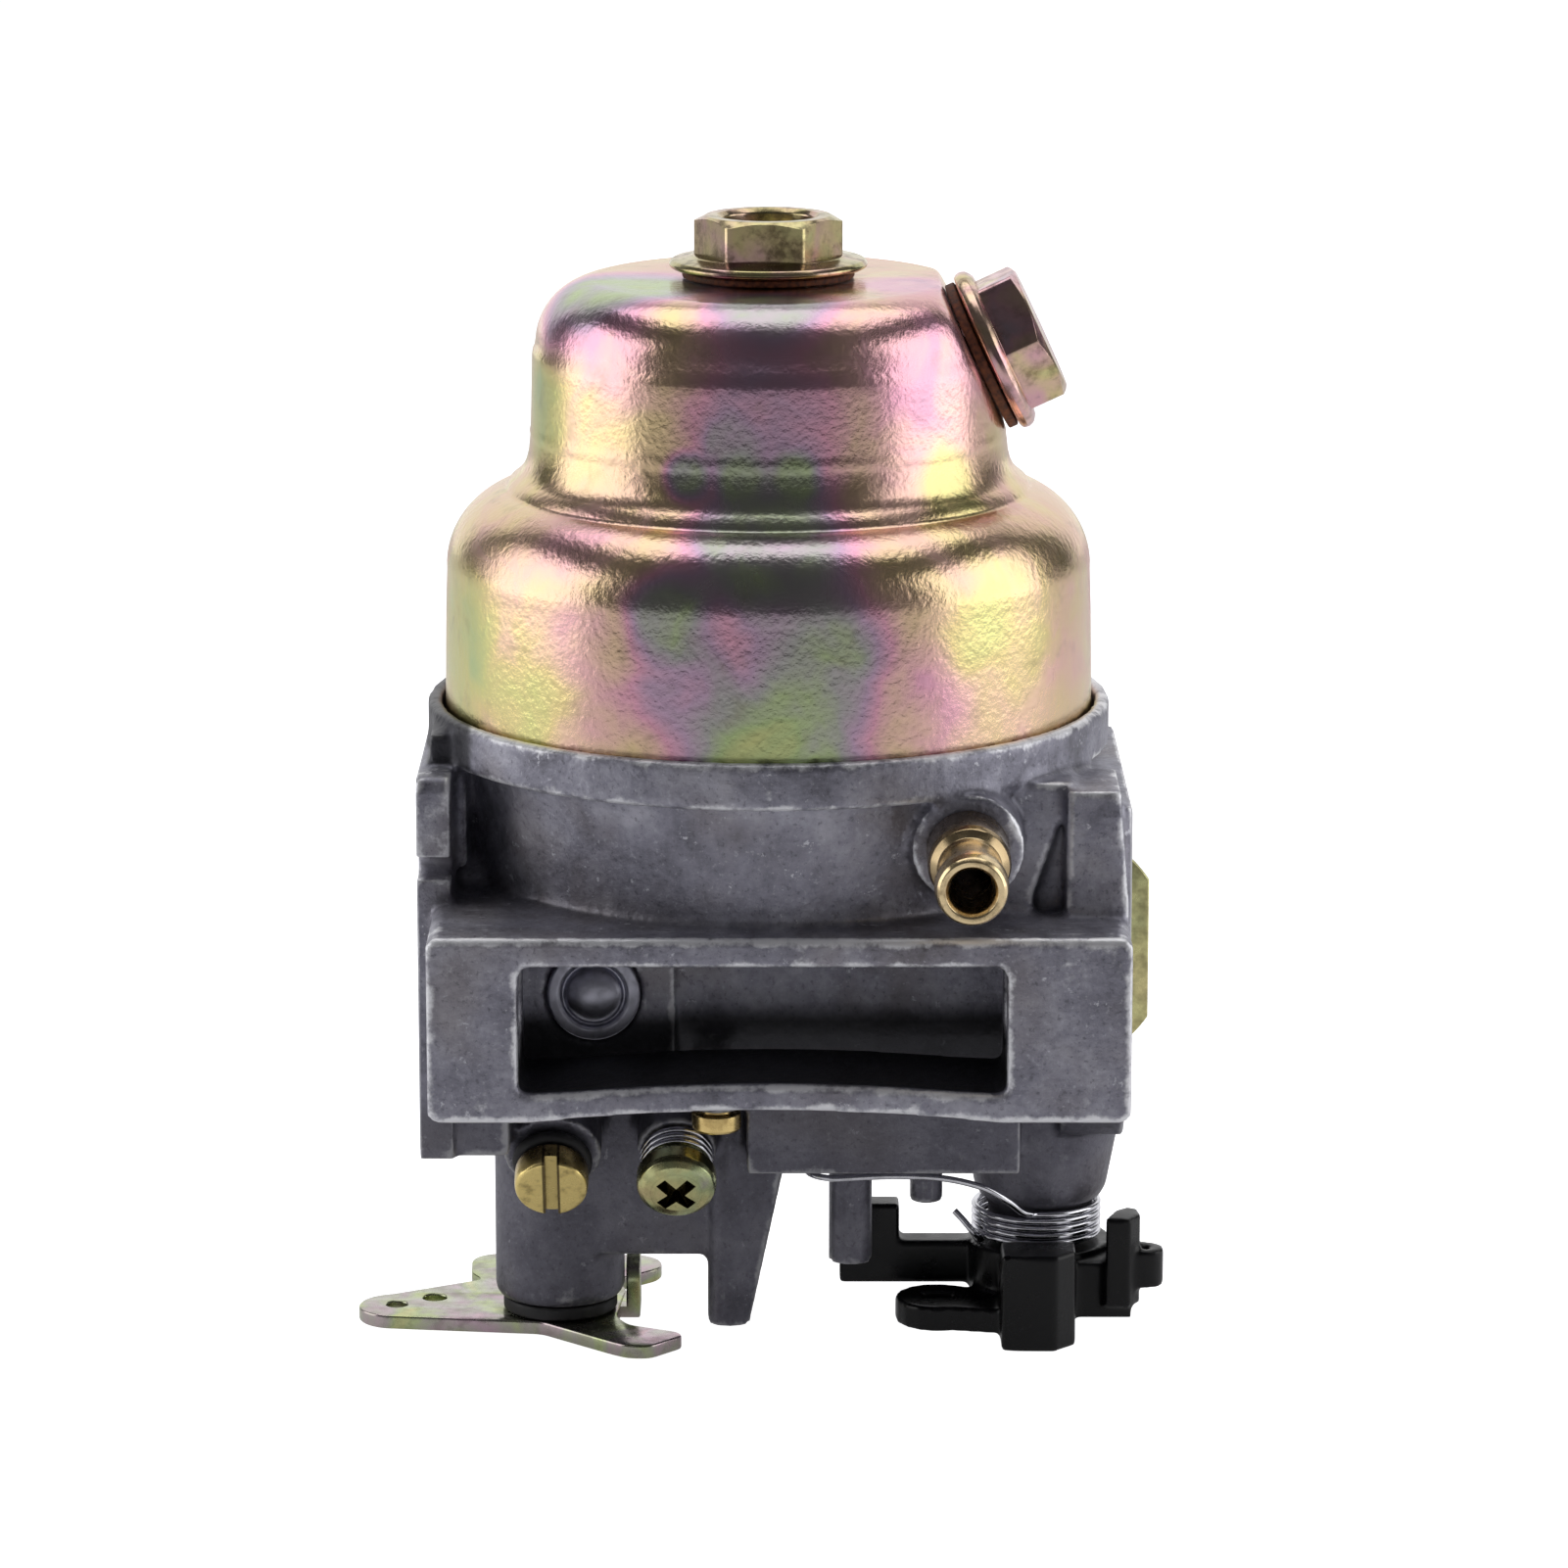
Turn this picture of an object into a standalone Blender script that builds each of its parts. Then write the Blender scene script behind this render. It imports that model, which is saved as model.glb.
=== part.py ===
"""Float-bowl carburetor of a small four-stroke engine, shown bowl up.

The origin is the centre of the bore on the engine flange's face. +X runs along the bore towards the
air cleaner, +Z towards the float bowl, and -Y towards the fuel inlet. Lengths are in metres.
"""

from math import acos, cos, degrees, pi, radians, sin, sqrt

import bmesh
import bpy
from mathutils import Matrix, Vector

MM = 0.001
GAP = 0.12 * MM  # between pieces that touch
RUNNING = 0.08 * MM  # radial clearance of a shaft or pin that turns

# Casting
ENGINE_FACE = 0.0
AIR_FACE = 54.2 * MM
BLOCK_START = 1.2 * MM
BLOCK_END = 53.7 * MM
BLOCK_HALF_HEIGHT = 7.1 * MM
BLOCK_FRONT = 26.0 * MM
BLOCK_INNER = 15.0 * MM
STUD_OFFSET = 21.0 * MM
STUD_HOLE = 3.25 * MM
THROTTLE_BORE = 8.5 * MM
THROAT = 6.6 * MM
CHOKE_BORE = 10.2 * MM
LOWER_BODY = -15.2 * MM

# Float bowl and the deck that carries it
BOWL_X = 26.6 * MM
RING_RADIUS = 26.4 * MM
RING_TOP = 20.4 * MM
RING_BOTTOM = 16.8 * MM
DECK_FLOOR = 9.5 * MM
CHAMBER_RADIUS = 21.4 * MM
GROOVE_RADIUS = 25.3 * MM
GROOVE_INNER = 22.7 * MM
GROOVE_FLOOR = 17.0 * MM
BOWL_RADIUS = 25.0 * MM
BOWL_WALL = 0.8 * MM
BOWL_RIM = 18.9 * MM
BOWL_TOP = 52.8 * MM
TOWER_RADIUS = 4.7 * MM
TOWER_TOP = BOWL_TOP - BOWL_WALL - GAP

# Hexagon bolts of the bowl
HEX_ACROSS_FLATS = 10.0 * MM
HEX_HEIGHT = 3.3 * MM
BOLT_FLANGE_RADIUS = 7.6 * MM
DRAIN_FLANGE_RADIUS = 6.5 * MM
DRAIN_TILT = radians(25)
DRAIN_SEAT = Vector((42.5, 0, 46.6)) * MM  # on the bowl's slanted flat

# Shafts, which are parallel to Z
THROTTLE_X = 10.1 * MM
CHOKE_X = 48.0 * MM
THROTTLE_SHAFT = 2.4 * MM
CHOKE_SHAFT = 2.8 * MM
SHAFT_TOP = 12.6 * MM
THROTTLE_BOSS_BOTTOM = -28.0 * MM
CHOKE_BOSS_BOTTOM = -19.9 * MM
PLATE_THICKNESS = 0.9 * MM
PLATE_SCREW_HEIGHT = 3.2 * MM  # above and below the bore's axis
SCREW_HOLE = 1.05 * MM
LEVER_TOP = -29.3 * MM
LEVER_THICKNESS = 1.1 * MM

# Screws on the front, which point towards -Y and down
SCREW_TILT = radians(28)
SCREW_AXIS = Vector((0, -cos(SCREW_TILT), -sin(SCREW_TILT)))
PILOT_SEAT = Vector((9.9, -9.3, -14.2)) * MM
STOP_SEAT = Vector((19.5, -7.8, -14.2)) * MM
BRASS_PLUG_SEAT = Vector((22.6, -10.9, -8.6)) * MM

# Fuel inlet and float valve
INLET = Vector((41.5, -22.5, 13.1)) * MM
INLET_TILT = radians(3.5)
INLET_AXIS = Vector((0, -cos(INLET_TILT), -sin(INLET_TILT)))
FLOAT_TURN = radians(45)  # turns the float's own -Y towards the inlet
SEAT_DISTANCE = 13.0 * MM
PIN_DISTANCE = 17.8 * MM
PIN_HEIGHT = 21.4 * MM
SEAT_TOP = 15.6 * MM

# Torsion spring of the choke
SPRING_X = 47.7 * MM
SPRING_RADIUS = 4.85 * MM
SPRING_WIRE = 0.52 * MM
SPRING_TOP = -20.1 * MM
SPRING_PITCH = 0.58 * MM
SPRING_TURNS = 5
ANCHOR_PEG = Vector((33.0, -5.0, -23.9)) * MM

X_AXIS, Y_AXIS, Z_AXIS = Vector((1, 0, 0)), Vector((0, 1, 0)), Vector((0, 0, 1))


# ---------------------------------------------------------------- shapes


def clear_scene():
    for obj in list(bpy.data.objects):
        bpy.data.objects.remove(obj, do_unlink=True)


def placed(name, bm, smooth_angle=35):
    """An object in the scene that holds this bmesh, with round faces shaded smooth."""
    bmesh.ops.recalc_face_normals(bm, faces=bm.faces)
    mesh = bpy.data.meshes.new(name)
    bm.to_mesh(mesh)
    bm.free()
    mesh.shade_smooth()
    mesh.set_sharp_from_angle(angle=radians(smooth_angle))
    obj = bpy.data.objects.new(name, mesh)
    bpy.context.scene.collection.objects.link(obj)
    return obj


def along(direction):
    """The rotation that carries +Z onto a direction."""
    return direction.to_track_quat("Z", "Y").to_matrix().to_4x4()


def turned(name, profile, base=(0, 0, 0), axis=Z_AXIS, segments=24):
    """A solid of revolution. The profile is a closed loop of (radius, height) points."""
    bm = bmesh.new()
    verts = [bm.verts.new((radius, 0, height)) for radius, height in profile]
    edges = [bm.edges.new(pair) for pair in zip(verts, verts[1:] + verts[:1])]
    bmesh.ops.spin(
        bm, geom=verts + edges, cent=(0, 0, 0), axis=(0, 0, 1), angle=2 * pi, steps=segments
    )
    bmesh.ops.remove_doubles(bm, verts=bm.verts, dist=1e-6)
    lone = [edge for edge in bm.edges if not edge.link_faces]
    bmesh.ops.delete(bm, geom=lone, context="EDGES")
    bmesh.ops.transform(bm, matrix=Matrix.Translation(Vector(base)) @ along(axis), verts=bm.verts)
    return placed(name, bm)


def rod(name, radius, start, end, far_radius=None, segments=24):
    """A cylinder between two points, or a cone where far_radius is given."""
    start, end = Vector(start), Vector(end)
    length = (end - start).length
    far = radius if far_radius is None else far_radius
    profile = [(0, 0), (radius, 0), (far, length), (0, length)]
    return turned(name, profile, start, end - start, segments)


def box(name, low, high):
    low, high = Vector(low), Vector(high)
    bm = bmesh.new()
    bmesh.ops.create_cube(bm, size=1)
    bmesh.ops.scale(bm, vec=high - low, verts=bm.verts)
    bmesh.ops.translate(bm, vec=(low + high) / 2, verts=bm.verts)
    return placed(name, bm)


def prism(name, outline, low, high, across=Z_AXIS):
    """An outline extruded from low to high, in XY for across=Z, in XZ for Y and in YZ for X."""
    bm = bmesh.new()
    if across == Z_AXIS:
        verts = [bm.verts.new((a, b, low)) for a, b in outline]
    elif across == Y_AXIS:
        verts = [bm.verts.new((a, low, b)) for a, b in outline]
    else:
        verts = [bm.verts.new((low, a, b)) for a, b in outline]
    face = bm.faces.new(verts)
    grown = bmesh.ops.extrude_face_region(bm, geom=[face])["geom"]
    moved = [item for item in grown if isinstance(item, bmesh.types.BMVert)]
    bmesh.ops.translate(bm, vec=across * (high - low), verts=moved)
    return placed(name, bm)


def arc(centre, radius, start, end, count=8):
    """Points on an arc, with its angles in degrees."""
    angles = [radians(start + (end - start) * i / count) for i in range(count + 1)]
    return [(centre[0] + radius * cos(a), centre[1] + radius * sin(a)) for a in angles]


def hexagon(name, across_flats, base, axis, height, turn=0.0):
    """A hexagon head with its top corners chamfered, standing on base."""
    corner = across_flats / sqrt(3)
    rim = across_flats * 0.47
    head = prism(name, arc((0, 0), corner, 0, 300, 5), 0, height + MM)
    wide, slope = corner + MM, 0.45
    mask = turned(
        name + "_mask",
        [
            (0, -MM),
            (wide, -MM),
            (wide, height - slope * (wide - rim)),
            (rim, height),
            (0, height),
        ],
    )
    place = Matrix.Translation(base) @ along(axis) @ Matrix.Rotation(turn, 4, "Z")
    head.data.transform(place)
    mask.data.transform(place)
    combine(head, mask, "INTERSECT")
    return head


def combine(target, tool, operation):
    """Adds a Boolean to the target, and turns the tool into a hidden guide."""
    modifier = target.modifiers.new(tool.name, "BOOLEAN")
    modifier.operation = operation
    modifier.solver = "MANIFOLD"
    modifier.object = tool
    tool.hide_render = True
    tool.display_type = "WIRE"


def join(target, *tools):
    for tool in tools:
        combine(target, tool, "UNION")


def cut(target, *tools):
    for tool in tools:
        combine(target, tool, "DIFFERENCE")


def wire(name, points, diameter, material, parent=None):
    """Spring wire along a list of points, with closed ends."""
    curve = bpy.data.curves.new(name, "CURVE")
    curve.dimensions = "3D"
    curve.bevel_depth = diameter / 2
    curve.bevel_resolution = 1
    curve.use_fill_caps = True
    spline = curve.splines.new("POLY")
    spline.points.add(len(points) - 1)
    for point, place in zip(spline.points, points):
        point.co = (*place, 1)
    obj = bpy.data.objects.new(name, curve)
    bpy.context.scene.collection.objects.link(obj)
    return finish(obj, material, parent)


def empty(name, location, turn=0.0):
    obj = bpy.data.objects.new(name, None)
    obj.location = location
    obj.rotation_euler = (0, 0, turn)
    bpy.context.scene.collection.objects.link(obj)
    bpy.context.view_layer.update()
    return obj


def finish(obj, material, parent=None):
    """Gives a piece its material and, where it moves, hangs it on its joint's empty."""
    obj.data.materials.clear()
    obj.data.materials.append(material)
    if parent is not None:
        obj.parent = parent
        obj.data.transform(parent.matrix_world.inverted())
    return obj


def material(name, colour, roughness, metallic):
    made = bpy.data.materials.new(name)
    made.use_nodes = True
    shader = made.node_tree.nodes["Principled BSDF"]
    shader.inputs["Base Color"].default_value = (*colour, 1)
    shader.inputs["Roughness"].default_value = roughness
    shader.inputs["Metallic"].default_value = metallic
    return made


# ---------------------------------------------------------------- casting


def arched_bottom(inset):
    """The lower edge of a stud block in XZ: two flat ends and a shallow arch between them."""
    low = -BLOCK_HALF_HEIGHT + inset
    start, end, rise = 8.8 * MM, 44.0 * MM, 1.0 * MM
    count = 10
    points = []
    for i in range(count + 1):
        share = i / count
        points.append((start + (end - start) * share, low + rise * sin(pi * share) ** 0.8))
    return points


def stud_block(name, side):
    """One of the two ears that the mounting studs run through, with its cored pocket."""
    outer, inner = side * BLOCK_FRONT, side * BLOCK_INNER
    low, high = min(outer, inner), max(outer, inner)
    edge = BLOCK_HALF_HEIGHT
    corner = 0.6 * MM
    outline = [
        (BLOCK_START, -edge + corner),
        (BLOCK_START + corner, -edge),
        *arched_bottom(0),
        (BLOCK_END - corner, -edge),
        (BLOCK_END, -edge + corner),
        (BLOCK_END, edge - corner),
        (BLOCK_END - corner, edge),
        (BLOCK_START + corner, edge),
        (BLOCK_START, edge - corner),
    ]
    block = prism(name, outline, low, high, Y_AXIS)
    top, left, right = 4.9 * MM, 8.0 * MM, 44.4 * MM
    pocket_outline = [
        (left, top - corner),
        (left, -4.9 * MM),
        *arched_bottom(2.0 * MM)[1:-1],
        (right, -4.9 * MM),
        (right, top - corner),
        (right - corner, top),
        (left + corner, top),
    ]
    reach = 2 * MM
    pocket = prism(name + "_pocket", pocket_outline, low - reach, high + reach, Y_AXIS)
    cut(block, pocket)
    return block


def deck():
    """The round top of the casting: tapered wall, rim ring and float chamber."""
    wall_top, wall_bottom, chamfer = 24.6 * MM, 22.5 * MM, 0.3 * MM
    profile = [
        (0, 5.5 * MM),
        (wall_bottom, 5.5 * MM),
        (wall_top, RING_BOTTOM),
        (RING_RADIUS - chamfer, RING_BOTTOM),
        (RING_RADIUS, RING_BOTTOM + chamfer),
        (RING_RADIUS, RING_TOP - chamfer),
        (RING_RADIUS - chamfer, RING_TOP),
        (CHAMBER_RADIUS, RING_TOP),
        (CHAMBER_RADIUS, DECK_FLOOR),
        (0, DECK_FLOOR),
    ]
    return turned("deck", profile, (BOWL_X, 0, 0), segments=48)


def at_inlet(radial, across, height):
    """A place in the float chamber: radial points from the tower to the inlet, across beside it."""
    turn = Matrix.Rotation(FLOAT_TURN, 3, "Z")
    return Vector((BOWL_X, 0, 0)) + turn @ Vector((across, -radial, height))


def float_valve_housing(body):
    """The seat boss, its fuel passage and the two posts of the float pin, inside the chamber."""
    seat = at_inlet(SEAT_DISTANCE, 0, 0)
    boss = rod("seat_boss", 3.9 * MM, seat + Z_AXIS * 8 * MM, seat + Z_AXIS * SEAT_TOP)
    passage_height = INLET.z - 1.2 * MM
    passage_end = Vector((seat.x, seat.y, passage_height))
    wall_end = Vector((INLET.x - 0.6 * MM, INLET.y + 5.0 * MM, passage_height))
    rib = rod("passage_rib", 2.6 * MM, wall_end, passage_end, segments=20)
    join(body, boss, rib)
    post_reach, post_half = 6.2 * MM, 1.3 * MM
    for side in (-1, 1):
        across = side * post_reach
        low = Vector((across - post_half, -PIN_DISTANCE - 1.9 * MM, 8.5 * MM))
        high = Vector((across + post_half, -PIN_DISTANCE + 1.9 * MM, PIN_HEIGHT + 1.7 * MM))
        post = box("pin_post", low, high)
        turn = Matrix.Rotation(FLOAT_TURN, 4, "Z")
        post.data.transform(Matrix.Translation((BOWL_X, 0, 0)) @ turn)
        join(body, post)


def pegs_and_web(body):
    """What stands on the underside: stop-screw web, spring pegs and a rib."""
    web = box("web", Vector((12, -4.4, -23.8)) * MM, Vector((22.4, 0.5, -5)) * MM)
    long_root, long_end = Vector((23.5, -4.2, -5)) * MM, Vector((23.5, -4.2, -29.2)) * MM
    anchor_root = Vector((ANCHOR_PEG.x, ANCHOR_PEG.y, -12 * MM))
    short_root, short_end = Vector((38.9, -5, -12)) * MM, Vector((38.9, -5, -19.1)) * MM
    pegs = [
        rod("long_peg", 1.7 * MM, long_root, long_end, segments=20),
        rod("anchor_peg", 1.7 * MM, anchor_root, ANCHOR_PEG, segments=20),
        rod("short_peg", 1.3 * MM, short_root, short_end, segments=20),
    ]
    side = [(22.9, -12.0), (28.2, -14.5), (25.2, -28.6), (23.3, -28.6)]
    rib = prism("rib", [(x * MM, z * MM) for x, z in side], -5.2 * MM, -3.2 * MM, Y_AXIS)
    join(body, web, *pegs, rib)


def flanges(body):
    """The engine flange plate, and the air-cleaner flange with its upper wings, each backed by a web."""
    half, top, bottom = 15.2 * MM, 16.9 * MM, -13.1 * MM
    corner = 1.0 * MM
    outline = [
        *arc((half - corner, bottom + corner), corner, -90, 0, 4),
        *arc((half - corner, top - corner), corner, 0, 90, 4),
        *arc((-half + corner, top - corner), corner, 90, 180, 4),
        *arc((-half + corner, bottom + corner), corner, 180, 270, 4),
    ]
    engine = prism("engine_flange", outline, ENGINE_FACE, 2.6 * MM, X_AXIS)
    notch = box("flange_notch", Vector((-1, -17, 9.1)) * MM, Vector((3.2, -12.6, 10.7)) * MM)
    cut(engine, notch)
    foot = box("engine_foot", Vector((0.4, -6.4, -12.4)) * MM, Vector((9, 11.5, 0)) * MM)
    toe = box("engine_toe", Vector((0.4, -14.2, -13.0)) * MM, Vector((6.8, 14.2, -5)) * MM)
    crown = box("flange_crown", Vector((0.9, -11, 9)) * MM, Vector((3.6, 11, 19.4)) * MM)
    ends = [(49.0, 16.8), (53.0, 16.8), (53.7, 8.0), (53.7, 5.5), (49.0, 5.5)]
    for side in (-1, 1):
        low, high = sorted((side * 19.4 * MM, side * 11 * MM))
        plate = prism("air_wing", [(x * MM, z * MM) for x, z in ends], low, high, Y_AXIS)
        gusset = [(43.0, 17.2), (49.6, 17.2), (46.5, 8.4), (46.5, 6.0), (43.0, 6.0)]
        low, high = sorted((side * 18.2 * MM, side * 9 * MM))
        ridge = prism("gusset", [(x * MM, z * MM) for x, z in gusset], low, high, Y_AXIS)
        low, high = sorted((side * 16.8 * MM, side * 9 * MM))
        web = box("wing_web", Vector((44 * MM, low, 5.5 * MM)), Vector((51.4 * MM, high, 16.5 * MM)))
        join(body, plate, ridge, web)
    ring = [(14.6, 14.6), (-14.6, 14.6), (-14.6, -6.5), (-6.5, -13.4), (6.5, -13.4), (14.6, -6.5)]
    ring = [(y * MM, z * MM) for y, z in ring]
    air = prism("air_flange", ring, 49.2 * MM, AIR_FACE, X_AXIS)
    join(body, engine, foot, toe, crown, air)


def shaft_bosses(body):
    end, chamfer = -THROTTLE_BOSS_BOTTOM, 0.6 * MM
    throttle_profile = [
        (0, end),
        (4.7 * MM, end),
        (5.1 * MM, end - chamfer),
        (5.1 * MM, 5 * MM),
        (0, 5 * MM),
    ]
    throttle = turned("throttle_boss", throttle_profile, (THROTTLE_X, 0, 0), -Z_AXIS, 40)
    choke_profile = [
        (0, 8 * MM),
        (6.1 * MM, 8 * MM),
        (6.1 * MM, 14.2 * MM),
        (5.2 * MM, 19.0 * MM),
        (4.7 * MM, -CHOKE_BOSS_BOTTOM),
        (0, -CHOKE_BOSS_BOTTOM),
    ]
    choke = turned("choke_boss", choke_profile, (CHOKE_X, 0, 0), -Z_AXIS, 40)
    spigot_end = SPRING_TOP - SPRING_TURNS * SPRING_PITCH - 0.1 * MM
    spigot = rod("spigot", 4.1 * MM, (CHOKE_X, 0, -15 * MM), (CHOKE_X, 0, spigot_end))
    cap_radius, cap_top = 4.2 * MM, 14.2 * MM
    throttle_top = rod("throttle_top", cap_radius, (THROTTLE_X, 0, 8 * MM), (THROTTLE_X, 0, cap_top))
    choke_top = rod("choke_top", cap_radius, (CHOKE_X, 0, 6 * MM), (CHOKE_X, 0, cap_top))
    join(body, throttle, choke, spigot, throttle_top, choke_top)


def bore_cutter():
    """The air passage: throttle bore, venturi throat and choke bore, from face to face."""
    beyond = 1 * MM
    profile = [
        (0, -beyond),
        (THROTTLE_BORE, -beyond),
        (THROTTLE_BORE, 19 * MM),
        (THROAT + 0.2 * MM, 23.5 * MM),
        (THROAT, 26 * MM),
        (THROAT + 0.4 * MM, 29 * MM),
        (CHOKE_BORE - 0.7 * MM, 34.5 * MM),
        (CHOKE_BORE, 37.2 * MM),
        (CHOKE_BORE, AIR_FACE + beyond),
        (0, AIR_FACE + beyond),
    ]
    return turned("bore", profile, (0, 0, 0), X_AXIS, segments=36)


def holes(body):
    """Every hole that is drilled or cored in the casting."""
    beyond = 1 * MM
    cut(body, bore_cutter())
    groove_profile = [
        (GROOVE_INNER, GROOVE_FLOOR),
        (GROOVE_RADIUS, GROOVE_FLOOR),
        (GROOVE_RADIUS, RING_TOP + beyond),
        (GROOVE_INNER, RING_TOP + beyond),
    ]
    cut(body, turned("gasket_groove", groove_profile, (BOWL_X, 0, 0), segments=48))
    for side in (-1, 1):
        y = side * STUD_OFFSET
        stud = rod("stud_hole", STUD_HOLE, (-beyond, y, 0), (AIR_FACE + beyond, y, 0))
        cut(body, stud)
    low, top = -30 * MM, SHAFT_TOP + 0.3 * MM
    throttle_hole = rod(
        "throttle_hole", THROTTLE_SHAFT + RUNNING, (THROTTLE_X, 0, low), (THROTTLE_X, 0, top)
    )
    choke_hole = rod("choke_hole", CHOKE_SHAFT + RUNNING, (CHOKE_X, 0, low), (CHOKE_X, 0, top))
    nozzle_hole = turned(
        "tower_bore",
        [
            (0, 3 * MM),
            (1.9 * MM, 3 * MM),
            (1.9 * MM, 33 * MM),
            (2.6 * MM, 33 * MM),
            (2.6 * MM, 38 * MM),
            (3.1 * MM, 38 * MM),
            (3.1 * MM, 55 * MM),
            (0, 55 * MM),
        ],
        (BOWL_X, 0, 0),
    )
    well_height = 12 * MM
    well_hole = rod(
        "well_hole", 0.9 * MM, (BOWL_X, 0, well_height), (BOWL_X + 6 * MM, 0, well_height), segments=12
    )
    seat = at_inlet(SEAT_DISTANCE, 0, 0)
    seat_hole = rod("seat_hole", 2.5 * MM, seat + Z_AXIS * 10.6 * MM, seat + Z_AXIS * 17 * MM)
    passage_height = INLET.z - 1.2 * MM
    passage_start = Vector((INLET.x - 0.3 * MM, INLET.y + 3.2 * MM, passage_height))
    passage_end = Vector((seat.x, seat.y, passage_height))
    passage = rod("fuel_passage", 1.1 * MM, passage_start, passage_end, segments=12)
    outer, inner = INLET + INLET_AXIS * beyond, INLET - INLET_AXIS * 4 * MM
    nozzle_socket = rod("nozzle_socket", 2.55 * MM, outer, inner)
    pin_ends = [at_inlet(PIN_DISTANCE, side * 9 * MM, PIN_HEIGHT) for side in (-1, 1)]
    pin_hole = rod("pin_hole", 0.95 * MM, *pin_ends, segments=16)
    pilot_clearance = rod("pilot_clearance", 3.6 * MM, PILOT_SEAT, PILOT_SEAT + SCREW_AXIS * 8 * MM)
    outer, inner = PILOT_SEAT + SCREW_AXIS * beyond, PILOT_SEAT - SCREW_AXIS * 3.2 * MM
    pilot_hole = rod("pilot_hole", 2.05 * MM, outer, inner, segments=20)
    outer, inner = STOP_SEAT + SCREW_AXIS * beyond, STOP_SEAT - SCREW_AXIS * 12 * MM
    stop_hole = rod("stop_hole", 2.1 * MM, outer, inner, segments=20)
    outer, inner = Vector((13.3, -16, -0.2)) * MM, Vector((13.3, -12.9, -0.2)) * MM
    plug_seat = rod("plug_seat", 3.7 * MM, outer, inner, segments=32)
    outer = BRASS_PLUG_SEAT - Z_AXIS * 4 * MM
    brass_seat = rod("brass_seat", 1.35 * MM, outer, BRASS_PLUG_SEAT, segments=16)
    cut(body, throttle_hole, choke_hole, nozzle_hole, well_hole, seat_hole, passage, nozzle_socket)
    cut(body, pin_hole, pilot_clearance, pilot_hole, stop_hole, plug_seat, brass_seat)


def carburetor_body(alloy):
    """The die casting that everything else is fitted to."""
    body = deck()
    body.name = "carburetor_body"
    front, rear = stud_block("front_block", -1), stud_block("rear_block", 1)
    barrel = turned(
        "barrel",
        [
            (0, 1 * MM),
            (11.4 * MM, 1 * MM),
            (11.4 * MM, 18 * MM),
            (12.8 * MM, 18.2 * MM),
            (12.8 * MM, 52 * MM),
            (0, 52 * MM),
        ],
        (0, 0, 0),
        X_AXIS,
        segments=40,
    )
    lower = box("lower_body", Vector((24.9, -11.2, LOWER_BODY / MM)) * MM, Vector((46, 11.2, -2)) * MM)
    pad = box("plug_pad", Vector((7.2, -13.8, -6.4)) * MM, Vector((19.5, -7, 6.4)) * MM)
    ear_webs = [
        box("ear_web", Vector((1.3, -16, -6.2)) * MM, Vector((7.4, 16, 6.2)) * MM),
        box("ear_web", Vector((45.0, -16, -6.2)) * MM, Vector((53.0, 16, 6.2)) * MM),
    ]
    skin_front = box("skin", Vector((1.4, -16, 4.8)) * MM, Vector((53, -9, 7.0)) * MM)
    skin_rear = box("skin", Vector((1.4, 9, 4.8)) * MM, Vector((53, 16, 7.0)) * MM)
    tower = rod("tower", TOWER_RADIUS, (BOWL_X, 0, 6.5 * MM), (BOWL_X, 0, TOWER_TOP))
    inlet_boss = rod("inlet_boss", 4.2 * MM, INLET - INLET_AXIS * 6.2 * MM, INLET, segments=32)
    depth = 5 * MM
    pilot_boss = rod("pilot_boss", 3.8 * MM, PILOT_SEAT - SCREW_AXIS * depth, PILOT_SEAT, segments=32)
    stop_boss = rod("stop_boss", 3.1 * MM, STOP_SEAT - SCREW_AXIS * depth, STOP_SEAT, segments=32)
    plug_boss_end = BRASS_PLUG_SEAT - Z_AXIS * 1.4 * MM
    plug_boss = rod("plug_boss", 1.9 * MM, BRASS_PLUG_SEAT + Z_AXIS * depth, plug_boss_end)
    join(body, front, rear, barrel, lower, pad, *ear_webs, skin_front, skin_rear, tower, inlet_boss)
    flanges(body)
    shaft_bosses(body)
    pegs_and_web(body)
    join(body, pilot_boss, stop_boss, plug_boss)
    float_valve_housing(body)
    holes(body)
    return finish(body, alloy)


# ---------------------------------------------------------------- float bowl


def bowl_profile(inset):
    """The bowl's outer side as (radius, height) points, moved inwards by inset."""
    shoulder, crown = 6.3 * MM - inset, 4.9 * MM - inset
    lower = BOWL_RADIUS - inset
    step = 18.4 * MM - inset
    upper = 17.8 * MM - inset
    top = BOWL_TOP - inset
    step_height = 36.9 * MM - inset
    return [
        (lower, BOWL_RIM - (MM if inset else 0)),
        *arc((lower - shoulder, step_height - shoulder), shoulder, 0, 80, 3),
        (step, step_height + 0.3 * MM),
        *arc((upper - crown, top - crown), crown, 0, 90, 3),
        (0, top),
        (0, BOWL_RIM - (MM if inset else 0)),
    ]


def slanted_cutter(name, seat):
    """A wedge whose slanted face is the flat that the drain bolt seats on. It clears the lower step."""
    down = Vector((sin(DRAIN_TILT), 0, -cos(DRAIN_TILT)))
    upper, lower, outside = seat - down * 16 * MM, seat + down * 6.6 * MM, 60 * MM
    outline = [(upper.x, upper.z), (lower.x, lower.z), (outside, lower.z), (outside, upper.z)]
    return prism(name, outline, -25 * MM, 25 * MM, Y_AXIS)


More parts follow.
